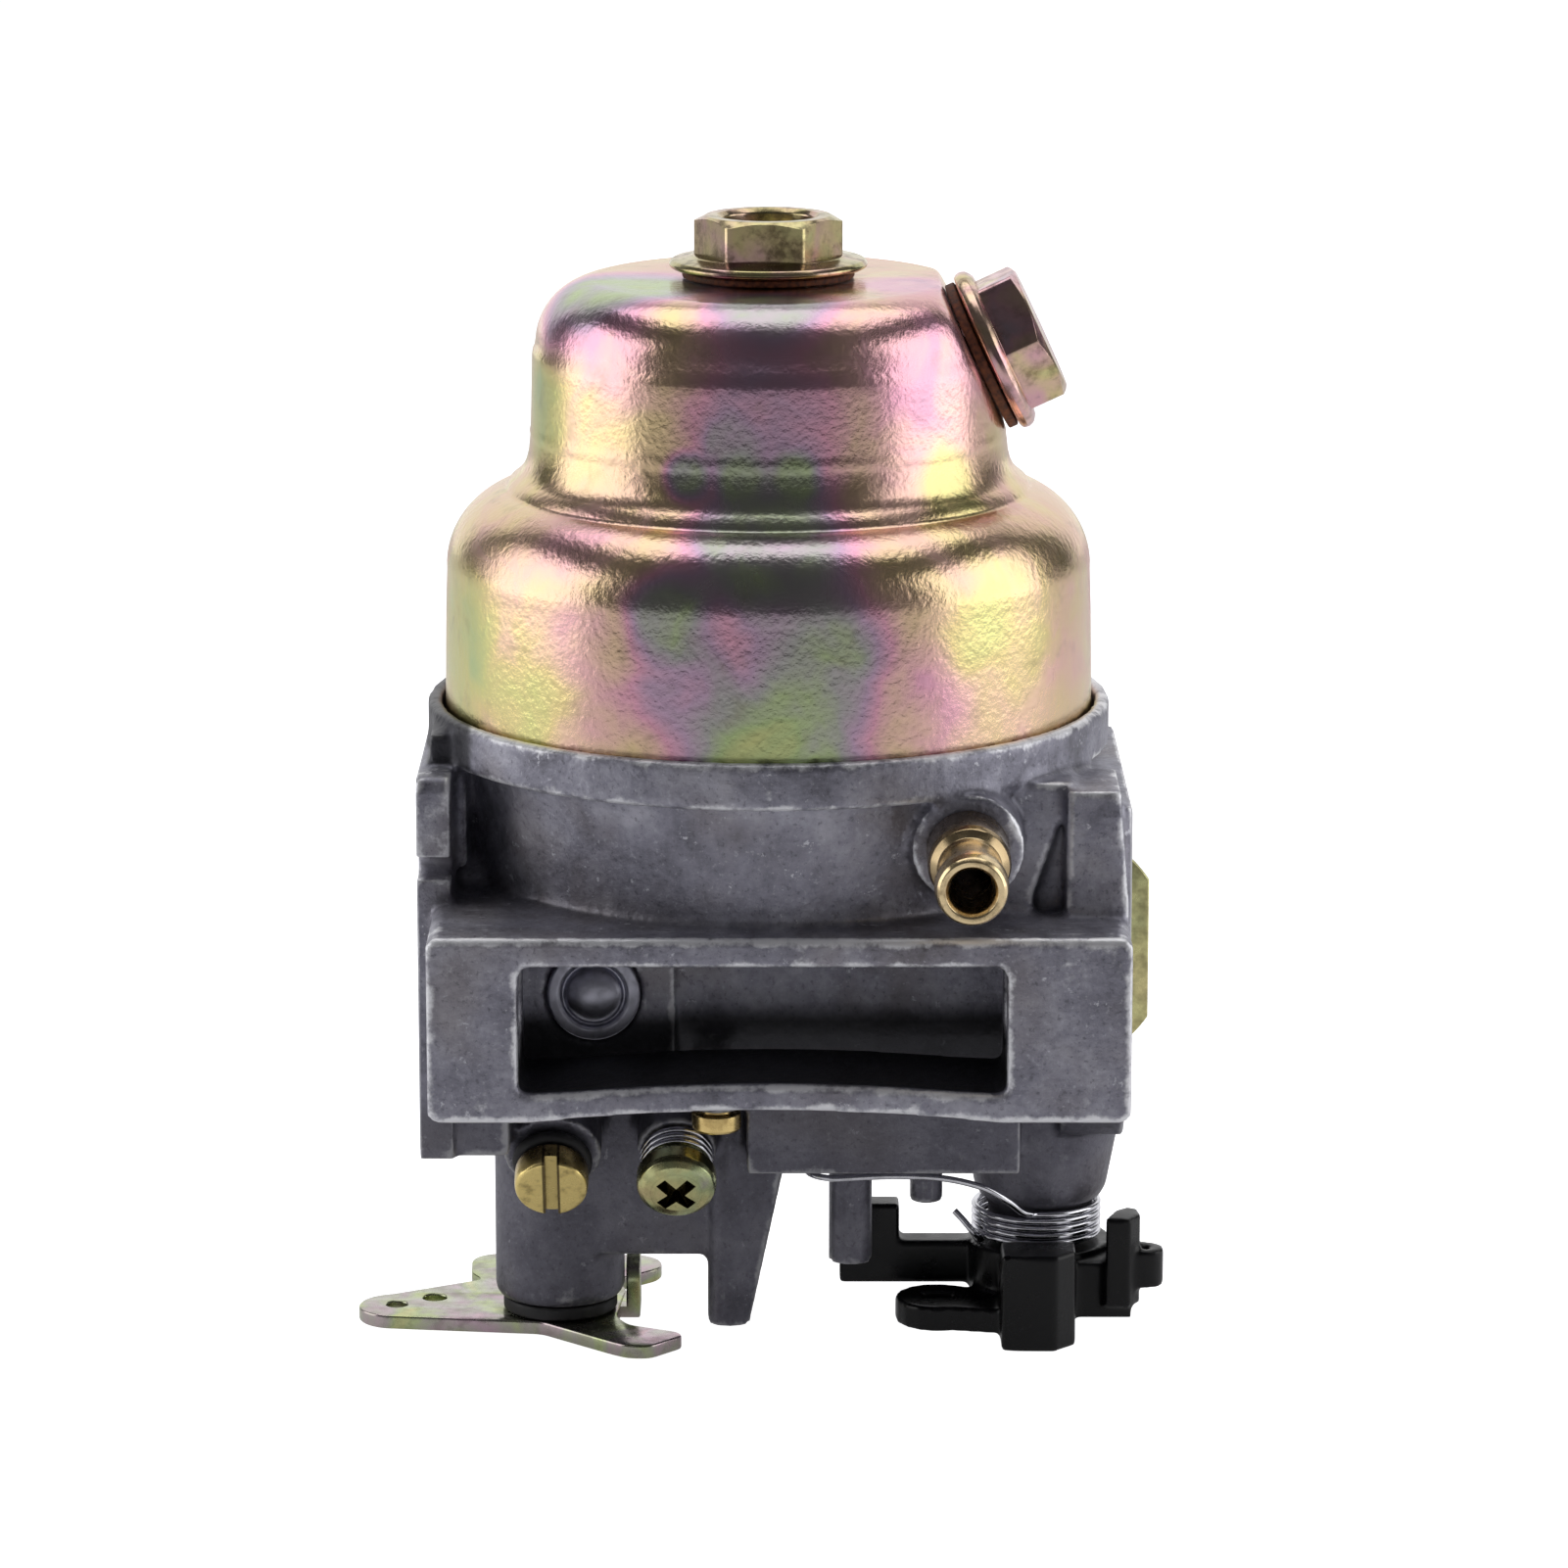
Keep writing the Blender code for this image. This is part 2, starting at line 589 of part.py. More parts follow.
def float_bowl(zinc):
    """The pressed-steel cup, with two steps and a slanted flat for the drain bolt."""
    axis = Vector((cos(DRAIN_TILT), 0, sin(DRAIN_TILT)))
    bowl = turned("float_bowl", bowl_profile(0), (BOWL_X, 0, 0), segments=44)
    hollow = turned("bowl_hollow", bowl_profile(BOWL_WALL), (BOWL_X, 0, 0), segments=44)
    cut(bowl, slanted_cutter("flat_outside", DRAIN_SEAT))
    cut(hollow, slanted_cutter("flat_inside", DRAIN_SEAT - axis * BOWL_WALL))
    bolt_hole = rod("bolt_hole", 3.3 * MM, (BOWL_X, 0, BOWL_TOP - 3 * MM), (BOWL_X, 0, BOWL_TOP + MM))
    drain_hole = rod("drain_hole", 3.2 * MM, DRAIN_SEAT - axis * 3 * MM, DRAIN_SEAT + axis * MM)
    cut(bowl, hollow, bolt_hole, drain_hole)
    return finish(bowl, zinc)


def bowl_gasket(rubber):
    low, high = GROOVE_FLOOR + GAP, BOWL_RIM - GAP
    inner, outer = GROOVE_INNER + 0.5 * MM, GROOVE_RADIUS - 0.5 * MM
    profile = [(inner, low), (outer, low), (outer, high), (inner, high)]
    return finish(turned("bowl_gasket", profile, (BOWL_X, 0, 0), segments=36), rubber)


def washer(name, inner, outer, thickness, base, axis, finish_material):
    profile = [(inner, 0), (outer, 0), (outer, thickness), (inner, thickness)]
    return finish(turned(name, profile, base, axis), finish_material)


def bowl_bolt(zinc):
    """The bolt that holds the bowl: hexagon with a hollow top, flange and threaded shank."""
    base = Vector((BOWL_X, 0, BOWL_TOP + 0.75 * MM))
    flange = turned(
        "bowl_bolt",
        [
            (0, 0),
            (BOLT_FLANGE_RADIUS - 0.4 * MM, 0),
            (BOLT_FLANGE_RADIUS, 0.3 * MM),
            (BOLT_FLANGE_RADIUS - 0.2 * MM, 0.75 * MM),
            (5.0 * MM, 1.1 * MM),
            (4.6 * MM, 1.6 * MM),
            (0, 1.6 * MM),
        ],
        base,
        segments=32,
    )
    hex_base = base + Z_AXIS * 0.8 * MM
    head = hexagon("bowl_bolt_hex", HEX_ACROSS_FLATS, hex_base, Z_AXIS, HEX_HEIGHT, radians(2))
    recess = rod("bolt_recess", 3.5 * MM, base + Z_AXIS * 2.2 * MM, base + Z_AXIS * 6 * MM, 3.9 * MM)
    shank = rod("bolt_shank", 2.95 * MM, base - Z_AXIS * 12.5 * MM, base + Z_AXIS * 0.6 * MM)
    join(flange, head, shank)
    cut(flange, recess)
    return finish(flange, zinc)


def drain_bolt(zinc):
    axis = Vector((cos(DRAIN_TILT), 0, sin(DRAIN_TILT)))
    base = DRAIN_SEAT + axis * 1.0 * MM
    flange = turned(
        "drain_bolt",
        [
            (0, 0),
            (DRAIN_FLANGE_RADIUS - 0.3 * MM, 0),
            (DRAIN_FLANGE_RADIUS, 0.4 * MM),
            (DRAIN_FLANGE_RADIUS - 0.3 * MM, 1.2 * MM),
            (5.2 * MM, 1.5 * MM),
            (0, 1.5 * MM),
        ],
        base,
        axis,
        segments=32,
    )
    head = hexagon("drain_bolt_hex", HEX_ACROSS_FLATS, base + axis * 1.2 * MM, axis, HEX_HEIGHT)
    shank = rod("drain_shank", 2.95 * MM, base - axis * 6.5 * MM, base + axis * 0.6 * MM)
    join(flange, head, shank)
    return finish(flange, zinc)


def drain_nut(zinc):
    """The threaded boss brazed inside the bowl, which the drain bolt screws into."""
    axis = Vector((cos(DRAIN_TILT), 0, sin(DRAIN_TILT)))
    base = DRAIN_SEAT - axis * (BOWL_WALL + GAP)
    return washer("drain_nut", 3.1 * MM, 4.9 * MM, 3.6 * MM, base, -axis, zinc)


# ---------------------------------------------------------------- fuel inlet and float


def fuel_inlet_nozzle(brass):
    """The hose barb: a shouldered tube pressed into the casting."""
    profile = [
        (1.5 * MM, -3.6 * MM),
        (2.45 * MM, -3.6 * MM),
        (2.45 * MM, GAP),
        (3.1 * MM, GAP),
        (3.1 * MM, 4.6 * MM),
        (2.35 * MM, 5.0 * MM),
        (2.35 * MM, 8.4 * MM),
        (2.75 * MM, 9.0 * MM),
        (2.55 * MM, 10.6 * MM),
        (2.2 * MM, 10.9 * MM),
        (1.5 * MM, 10.9 * MM),
    ]
    return finish(turned("fuel_inlet_nozzle", profile, INLET, INLET_AXIS), brass)


def needle_seat(brass):
    seat = at_inlet(SEAT_DISTANCE, 0, 10.8 * MM)
    profile = [
        (0.9 * MM, 0),
        (2.4 * MM, 0),
        (2.4 * MM, 5.6 * MM),
        (1.75 * MM, 5.6 * MM),
        (1.75 * MM, 3.2 * MM),
        (0.9 * MM, 2.2 * MM),
    ]
    return finish(turned("needle_seat", profile, seat), brass)


def needle_valve(steel, axis_empty):
    """The pointed needle, with the neck that its clip hooks on."""
    seat = at_inlet(SEAT_DISTANCE, 0, 10.8 * MM)
    profile = [
        (0, 1.9 * MM),
        (0.5 * MM, 2.2 * MM),
        (1.5 * MM, 3.9 * MM),
        (1.6 * MM, 4.2 * MM),
        (1.6 * MM, 7.2 * MM),
        (0.8 * MM, 7.3 * MM),
        (0.8 * MM, 8.0 * MM),
        (1.2 * MM, 8.1 * MM),
        (1.2 * MM, 8.5 * MM),
        (0, 8.5 * MM),
    ]
    return finish(turned("needle_valve", profile, seat), steel, axis_empty)


def needle_clip(steel, axis_empty):
    """The wire clip between the needle's neck and the float's tang."""
    centre = at_inlet(SEAT_DISTANCE, 0, 10.8 * MM + 7.65 * MM)
    turn = Matrix.Rotation(FLOAT_TURN, 3, "Z")
    points = [centre + turn @ Vector((x, y, 0)) for x, y in arc((0, 0), 1.15 * MM, -60, 240, 12)]
    return wire("needle_clip", points, 0.4 * MM, steel, axis_empty)


def carburetor_float(plastic, axis_empty):
    """The hollow plastic float: a ring round the tower, with the arm and tang of its hinge."""
    outer, inner, low, high = 20.2 * MM, 7.6 * MM, 22.6 * MM, 30.4 * MM
    soft = 1.2 * MM
    profile = [
        (inner, low),
        (outer - soft, low),
        (outer, low + soft),
        (outer, high - 2 * soft),
        (outer - 2 * soft, high),
        (inner + soft, high),
        (inner, high - soft),
    ]
    ring = turned("float", profile, (0, 0, 0), segments=48)
    window = box("float_window", Vector((-8.4, -24, 20)) * MM, Vector((8.4, -9.4, 34)) * MM)
    cut(ring, window)
    tang_top = 22.9 * MM
    half = 4.4 * MM
    arm_low = Vector((-half, -PIN_DISTANCE - 1.2 * MM, 19.9 * MM))
    arm = box("float_arm", arm_low, Vector((half, -8.6 * MM, tang_top)))
    hub_ends = [(side * half, -PIN_DISTANCE, PIN_HEIGHT) for side in (-1, 1)]
    hub = rod("float_hub", 1.9 * MM, *hub_ends, segments=20)
    bridge = box("float_bridge", Vector((-9.5, -10.4, 22.7)) * MM, Vector((9.5, -7.0, 26.0)) * MM)
    join(ring, arm, hub, bridge)
    bore_ends = [(side * 6 * MM, -PIN_DISTANCE, PIN_HEIGHT) for side in (-1, 1)]
    bore = rod("float_bore", 0.95 * MM, *bore_ends, segments=16)
    clear_radius = TOWER_RADIUS + 2.2 * MM
    clearance = rod("tower_clearance", clear_radius, (0, 0, 18 * MM), (0, 0, 34 * MM), segments=32)
    cut(ring, bore, clearance)
    spot = Matrix.Translation((BOWL_X, 0, 0)) @ Matrix.Rotation(FLOAT_TURN, 4, "Z")
    for obj in (ring, window, arm, hub, bridge, bore, clearance):
        obj.data.transform(spot)
    return finish(ring, plastic, axis_empty)


def float_pin(steel):
    ends = [at_inlet(PIN_DISTANCE, side * 7.9 * MM, PIN_HEIGHT) for side in (-1, 1)]
    return finish(rod("float_pin", 0.85 * MM, ends[0], ends[1], segments=16), steel)


# ---------------------------------------------------------------- jets and plugs


def main_jet(brass):
    """The jet in the tower's foot, with a screwdriver slot."""
    base = Vector((BOWL_X, 0, 33.2 * MM))
    jet = turned(
        "main_jet",
        [
            (0.45 * MM, 0),
            (1.7 * MM, 0),
            (2.45 * MM, 0.6 * MM),
            (2.45 * MM, 4.4 * MM),
            (0.45 * MM, 4.4 * MM),
        ],
        base,
    )
    slot = box("jet_slot", Vector((-4, -0.35, 3.6)) * MM, Vector((4, 0.35, 6)) * MM)
    slot.data.transform(Matrix.Translation(base))
    cut(jet, slot)
    return finish(jet, brass)


def main_nozzle(brass):
    """The emulsion tube, from the main jet down into the venturi's throat."""
    base = Vector((BOWL_X, 0, 3.6 * MM))
    profile = [
        (0.8 * MM, 0),
        (1.5 * MM, 0),
        (1.5 * MM, 9 * MM),
        (1.8 * MM, 9.4 * MM),
        (1.8 * MM, 29.2 * MM),
        (0.8 * MM, 29.2 * MM),
    ]
    tube = turned("main_nozzle", profile, base, segments=16)
    for i in range(2):
        height = base.z + (12 + 4 * i) * MM
        ends = [(BOWL_X + side * 3 * MM, 0, height) for side in (-1, 1)]
        hole = rod("emulsion_hole", 0.4 * MM, *ends, segments=8)
        cut(tube, hole)
    return finish(tube, brass)


def pilot_jet(brass):
    """The slow-running jet: brass body with a slotted head."""
    face = 3.9 * MM
    jet = turned(
        "pilot_jet",
        [
            (0, -2.9 * MM),
            (1.9 * MM, -2.9 * MM),
            (1.9 * MM, 1.5 * MM),
            (2.85 * MM, 1.6 * MM),
            (2.85 * MM, face - 0.3 * MM),
            (2.6 * MM, face),
            (0, face),
        ],
        PILOT_SEAT,
        SCREW_AXIS,
    )
    slot = box("pilot_slot", Vector((-0.45, -4, 2.9)) * MM, Vector((0.45, 4, 6)) * MM)
    slot.data.transform(Matrix.Translation(PILOT_SEAT) @ along(SCREW_AXIS))
    cut(jet, slot)
    return finish(jet, brass)


def pilot_jet_oring(rubber):
    profile = arc((2.55 * MM, 0.8 * MM), 0.55 * MM, 0, 300, 5)
    return finish(turned("pilot_jet_oring", profile, PILOT_SEAT, SCREW_AXIS, segments=20), rubber)


def passage_plug(steel):
    """The cup plug with a ball in its middle that closes the slow-running passage."""
    base = Vector((13.3, -13.1, -0.2)) * MM
    profile = [
        (0, 0),
        (3.55 * MM, 0),
        (3.55 * MM, 1.1 * MM),
        (2.2 * MM, 1.1 * MM),
        (2.2 * MM, 0.6 * MM),
        (1.9 * MM, 0.8 * MM),
        (1.3 * MM, 1.4 * MM),
        (0.7 * MM, 1.65 * MM),
        (0, 1.7 * MM),
    ]
    return finish(turned("idle_passage_plug", profile, base, -Y_AXIS), steel)


def brass_plug(brass):
    profile = [
        (0, 0),
        (1.2 * MM, 0),
        (1.2 * MM, 1.6 * MM),
        (1.9 * MM, 1.6 * MM),
        (1.9 * MM, 2.8 * MM),
        (1.7 * MM, 3.0 * MM),
        (0, 3.0 * MM),
    ]
    base = BRASS_PLUG_SEAT - Z_AXIS * GAP
    return finish(turned("transfer_passage_plug", profile, base, -Z_AXIS), brass)


# ---------------------------------------------------------------- throttle


def throttle_shaft(steel, axis_empty):
    """The steel spindle, with the flat that the plate is screwed to."""
    bottom = LEVER_TOP - LEVER_THICKNESS - 0.9 * MM
    shaft = rod("throttle_shaft", THROTTLE_SHAFT, (THROTTLE_X, 0, bottom), (THROTTLE_X, 0, SHAFT_TOP))
    flat = box(
        "shaft_flat",
        Vector((THROTTLE_X, -4 * MM, -THROTTLE_BORE - 0.1 * MM)),
        Vector((THROTTLE_X + 4 * MM, 4 * MM, THROTTLE_BORE + 0.1 * MM)),
    )
    cut(shaft, flat)
    for z in (-PLATE_SCREW_HEIGHT, PLATE_SCREW_HEIGHT):
        ends = [(THROTTLE_X + side * 5 * MM, 0, z) for side in (-1, 1)]
        hole = rod("plate_screw_hole", SCREW_HOLE, *ends, segments=12)
        cut(shaft, hole)
    return finish(shaft, steel, axis_empty)


def throttle_plate(brass, axis_empty):
    start = THROTTLE_X + GAP
    radius = THROTTLE_BORE - 0.15 * MM
    plate = rod("throttle_plate", radius, (start, 0, 0), (start + PLATE_THICKNESS, 0, 0), segments=40)
    for z in (-PLATE_SCREW_HEIGHT, PLATE_SCREW_HEIGHT):
        ends = (THROTTLE_X - MM, 0, z), (THROTTLE_X + 3 * MM, 0, z)
        hole = rod("plate_hole", SCREW_HOLE, *ends, segments=12)
        cut(plate, hole)
    return finish(plate, brass, axis_empty)


def throttle_plate_screws(steel, axis_empty):
    """The two screws that clamp the plate to the shaft's flat."""
    base_x = THROTTLE_X + GAP + PLATE_THICKNESS + 0.02 * MM
    profile = [
        (0, -3.2 * MM),
        (0.95 * MM, -3.2 * MM),
        (0.95 * MM, 0),
        (1.9 * MM, 0),
        (1.9 * MM, 0.5 * MM),
        (1.3 * MM, 1.1 * MM),
        (0, 1.1 * MM),
    ]
    for place, z in (("upper", PLATE_SCREW_HEIGHT), ("lower", -PLATE_SCREW_HEIGHT)):
        screw = turned("throttle_plate_screw_" + place, profile, (base_x, 0, z), X_AXIS, segments=16)
        slot_low = Vector((base_x + 0.7 * MM, -3 * MM, z - 0.2 * MM))
        slot = box("screw_slot", slot_low, Vector((base_x + 2 * MM, 3 * MM, z + 0.2 * MM)))
        cut(screw, slot)
        finish(screw, steel, axis_empty)


def throttle_lever(zinc, axis_empty):
    """The stamped lever: governor arm with two holes, stop arm, rear lobes and a raised tab."""
    tip = arc((-2.9, 0.4), 3.0, 100, 262, 8)
    outline = [
        *tip,
        (8.7, -4.1),
        (14.2, -9.2),
        (15.6, -10.3),
        (17.4, -10.4),
        (19.9, -7.7),
        (19.5, -6.7),
        (15.6, -4.8),
        (14.6, -2.6),
        (15.2, 4.6),
        (14.4, 7.4),
        *arc((15.3, 11.6), 2.6, -50, 130, 6),
        (10.6, 11.8),
        *arc((4.8, 12.2), 2.3, 70, 190, 5),
        (2.6, 9.2),
        (3.6, 7.4),
    ]
    low = LEVER_TOP - LEVER_THICKNESS
    lever = prism("throttle_lever", [(x * MM, y * MM) for x, y in outline], low, LEVER_TOP)
    ear_outline = [(0.2, -29.8), (4.4, -29.8), *arc((2.3, -27.4), 2.1, 0, 180, 6)]
    ear = prism("lever_ear", [(y * MM, z * MM) for y, z in ear_outline], 15.3 * MM, 16.4 * MM, X_AXIS)
    foot = box("ear_foot", Vector((14.0, 0.2, -30.3)) * MM, Vector((16.35, 4.4, -29.4)) * MM)
    join(lever, foot, ear)
    beyond = 1 * MM
    link_holes = [(-2.9 * MM, 0.6 * MM, 0.85 * MM), (0, 2.4 * MM, 0.95 * MM)]
    for x, y, radius in [*link_holes, (THROTTLE_X, 0, THROTTLE_SHAFT + 0.05 * MM)]:
        cut(lever, rod("lever_hole", radius, (x, y, low - beyond), (x, y, LEVER_TOP + beyond)))
    return finish(lever, zinc, axis_empty)


def throttle_seal(rubber):
    """The dust washer between the boss and the lever."""
    low = LEVER_TOP + GAP
    thickness = THROTTLE_BOSS_BOTTOM - GAP - low
    base = (THROTTLE_X, 0, low)
    inner, outer = THROTTLE_SHAFT + RUNNING, 4.5 * MM
    return washer("throttle_shaft_seal", inner, outer, thickness, base, Z_AXIS, rubber)


def throttle_stop_screw(zinc, axis_empty):
    """The cross-head screw that sets the idle speed."""
    seat = STOP_SEAT + SCREW_AXIS * 2.6 * MM
    screw = turned(
        "throttle_stop_screw",
        [
            (0, -13.0 * MM),
            (1.5 * MM, -12.4 * MM),
            (1.95 * MM, -11.8 * MM),
            (1.95 * MM, 0),
            (3.05 * MM, 0),
            (3.1 * MM, 1.7 * MM),
            (2.6 * MM, 2.3 * MM),
            (0, 2.55 * MM),
        ],
        seat,
        SCREW_AXIS,
        segments=28,
    )
    place = Matrix.Translation(seat) @ along(SCREW_AXIS) @ Matrix.Rotation(radians(45), 4, "Z")
    for long_side, short_side in ((1.75 * MM, 0.45 * MM), (0.45 * MM, 1.75 * MM)):
        slot = box("cross_slot", (-long_side, -short_side, 1.0 * MM), (long_side, short_side, 4 * MM))
        slot.data.transform(place)
        cut(screw, slot)
    return finish(screw, zinc, axis_empty)


def throttle_stop_spring(steel):
    """The compression spring that keeps the stop screw from turning by itself."""
    radius, turns, steps = 2.65 * MM, 3, 10
    start, length = 0.4 * MM, 1.85 * MM
    place = Matrix.Translation(STOP_SEAT) @ along(SCREW_AXIS)
    points = []
    for i in range(turns * steps + 1):
        angle = 2 * pi * i / steps
        height = start + length * i / (turns * steps)
        points.append(place @ Vector((radius * cos(angle), radius * sin(angle), height)))
    return wire("throttle_stop_spring", points, 0.5 * MM, steel)


# ---------------------------------------------------------------- choke


def choke_plate(zinc, axis_empty):
    """The choke disc, in its open place along the bore, with a flat on its outer edge."""
    radius, flat, half = CHOKE_BORE - 0.25 * MM, 8.3 * MM, PLATE_THICKNESS / 2
    start = degrees(acos(flat / radius))
    outline = arc((CHOKE_X, 0), radius, start, 360 - start, 36)
    plate = prism("choke_plate", outline, -half, half, Y_AXIS)
    return finish(plate, zinc, axis_empty)


def lever_solids():
    """The arms of the choke lever, as separate overlapping solids."""
    hub_bottom = -27.7 * MM
    shaft = rod("choke_spindle", CHOKE_SHAFT, (CHOKE_X, 0, -26 * MM), (CHOKE_X, 0, SHAFT_TOP))
    block_outline = [(44.7, -5.8), (44.7, -10.1), (48.9, -10.3), (50.5, -8.6), (50.5, -5.8)]
    block = prism("lever_block", [(x * MM, y * MM) for x, y in block_outline], -29.9 * MM, -22.2 * MM)
    neck = box("lever_neck", Vector((44.7, -6.2, -29.9)) * MM, Vector((50.5, -2.6, -24.0)) * MM)
    lug_outline = [*arc((39.8, -4.6), 3.3, 60, 290, 10), (45.4, -8.6), (45.4, -3.6), (43.0, -2.4)]
    lug = prism("lever_lug", [(x * MM, y * MM) for x, y in lug_outline], -29.0 * MM, -27.0 * MM)
    bar = box("lever_bar", Vector((32.2, -0.6, -27.2)) * MM, Vector((46, 2.2, -23.8)) * MM)
    bar_post = box("lever_bar_post", Vector((32.6, -0.55, -26.8)) * MM, Vector((36.9, 2.15, -20.8)) * MM)
    post_outline = [
        (52.9, -5.8), (54.8, -6.0), (55.7, -4.6), (55.6, -2.9), (54.8, -2.3), (53.8, -3.2)
    ]
    post = prism("lever_post", [(x * MM, y * MM) for x, y in post_outline], -27.6 * MM, -20.4 * MM)
    far_outline = [(53.6, -5.3), (56.0, -5.4), *arc((56.1, -3.9), 1.5, -60, 75, 5), (53.6, -1.8)]
    far = prism("lever_far_lug", [(x * MM, y * MM) for x, y in far_outline], -26.2 * MM, -23.2 * MM)
    root_outline = [(48, -5.2), (55, -5.4), (55, -2.0), (48, 2.0)]
    root = prism("lever_root", [(x * MM, y * MM) for x, y in root_outline], -28.6 * MM, -24.2 * MM)
    return hub_bottom, [shaft, block, neck, lug, bar, bar_post, post, far, root]


def choke_lever(plastic, axis_empty):
    """The moulded lever and spindle of the choke, in one piece."""
    hub_bottom, solids = lever_solids()
    hub_top = SPRING_TOP - SPRING_TURNS * SPRING_PITCH - 0.5 * MM
    lever = rod("choke_lever", 5.6 * MM, (CHOKE_X, 0, hub_bottom), (CHOKE_X, 0, hub_top), segments=40)
    join(lever, *solids)
    half = PLATE_THICKNESS / 2 + GAP
    plate_slot = box(
        "plate_slot",
        Vector((CHOKE_X - 4 * MM, -half, -CHOKE_BORE - 0.1 * MM)),
        Vector((CHOKE_X + 4 * MM, half, CHOKE_BORE + 0.1 * MM)),
    )
    lug_slot = box("lug_slot", Vector((38.6, -5.0, -30)) * MM, Vector((41.2, -3.6, -26)) * MM)
    far_ends = [Vector((56.0, -4.0, z)) * MM for z in (-28, -22)]
    far_hole = rod("far_hole", 0.5 * MM, *far_ends, segments=12)
    cut(lever, plate_slot, lug_slot, far_hole)
    return finish(lever, plastic, axis_empty)


def choke_spring(steel):
    """The torsion spring: one leg hooks round the casting's peg, the other leans on the lever."""
    steps = 14
    fixed_angle, moving_angle = radians(265), radians(205)
    sweep = 2 * pi * SPRING_TURNS - (fixed_angle - moving_angle)
    count = SPRING_TURNS * steps
    coil = []
    for i in range(count + 1):
        turn = sweep * i / count
        angle = fixed_angle + turn
        height = SPRING_TOP - SPRING_WIRE / 2 - SPRING_PITCH * turn / (2 * pi)
        x, y = SPRING_X + SPRING_RADIUS * cos(angle), SPRING_RADIUS * sin(angle)
        coil.append(Vector((x, y, height)))
    hook_arc = arc((32.1 * MM, -4.8 * MM), 2.5 * MM, 120, 270, 8)
    hook = [Vector((x, y, -16.7 * MM)) for x, y in hook_arc]
    lead = [
        Vector((36.0, -7.3, -16.5)) * MM,
        Vector((40.0, -7.5, -16.6)) * MM,
        Vector((43.2, -7.3, -17.4)) * MM,
        Vector((45.2, -6.7, -18.7)) * MM,
        Vector((46.4, -5.7, -19.9)) * MM,
    ]
    end = coil[-1]
    tail = [
        end + Vector((-0.5, -0.7, 0)) * MM,
        end + Vector((-0.9, -1.0, 0.6)) * MM,
        end + Vector((-1.6, -0.6, 1.6)) * MM,
        end + Vector((-2.2, -0.2, 2.4)) * MM,
    ]
    return wire("choke_return_spring", hook + lead + coil + tail, SPRING_WIRE, steel)


# ---------------------------------------------------------------- assembly


def main():
    clear_scene()
    alloy = material("cast_alloy", (0.33, 0.33, 0.35), 0.55, 0.9)
    zinc = material("yellow_zinc", (0.72, 0.62, 0.42), 0.3, 1.0)
    brass = material("brass", (0.75, 0.56, 0.27), 0.28, 1.0)
    steel = material("bright_steel", (0.62, 0.62, 0.64), 0.25, 1.0)
    rubber = material("black_rubber", (0.02, 0.02, 0.02), 0.7, 0.0)
    black = material("black_plastic", (0.018, 0.018, 0.022), 0.4, 0.0)
    white = material("float_plastic", (0.75, 0.73, 0.66), 0.45, 0.0)
    fibre = material("fibre", (0.28, 0.09, 0.05), 0.8, 0.0)

    throttle_axis = empty("throttle_axis", (THROTTLE_X, 0, 0))
    choke_axis = empty("choke_axis", (CHOKE_X, 0, 0))
    float_axis = empty("float_axis", at_inlet(PIN_DISTANCE, 0, PIN_HEIGHT), FLOAT_TURN)
    needle_axis = empty("needle_axis", at_inlet(SEAT_DISTANCE, 0, 0))
    stop_axis = empty("stop_screw_axis", STOP_SEAT)

    carburetor_body(alloy)
    float_bowl(zinc)
    bowl_gasket(rubber)
    bowl_bolt(zinc)
    top_washer_base = (BOWL_X, 0, BOWL_TOP + GAP)
    washer("bowl_bolt_washer", 3.15 * MM, 6.6 * MM, 0.5 * MM, top_washer_base, Z_AXIS, fibre)
    drain_bolt(zinc)
    drain_axis = Vector((cos(DRAIN_TILT), 0, sin(DRAIN_TILT)))
    drain_washer_base = DRAIN_SEAT + drain_axis * GAP
    washer("drain_bolt_washer", 3.15 * MM, 6.0 * MM, 0.75 * MM, drain_washer_base, drain_axis, fibre)
    drain_nut(zinc)

    fuel_inlet_nozzle(brass)
    needle_seat(brass)
    needle_valve(steel, needle_axis)
    needle_clip(steel, needle_axis)
    carburetor_float(white, float_axis)
    float_pin(steel)

    main_jet(brass)
    main_nozzle(brass)
    pilot_jet(brass)
    pilot_jet_oring(rubber)
    passage_plug(steel)
    brass_plug(brass)

    throttle_shaft(steel, throttle_axis)
    throttle_plate(brass, throttle_axis)
    throttle_plate_screws(steel, throttle_axis)
    throttle_lever(zinc, throttle_axis)
    throttle_seal(rubber)
    throttle_stop_screw(zinc, stop_axis)
    throttle_stop_spring(steel)

    choke_lever(black, choke_axis)
    choke_plate(zinc, choke_axis)
    choke_spring(steel)


main()
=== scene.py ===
"""Float-bowl carburetor of a small four-stroke engine: its looks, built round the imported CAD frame.

Lengths are in metres in the CAD's frame. +X runs along the bore towards the air cleaner, +Z towards
the float bowl, and -Y towards the fuel inlet.
"""

from math import acos, cos, degrees, pi, radians, sin

import bmesh
import bpy
import numpy as np
from mathutils import Matrix, Vector


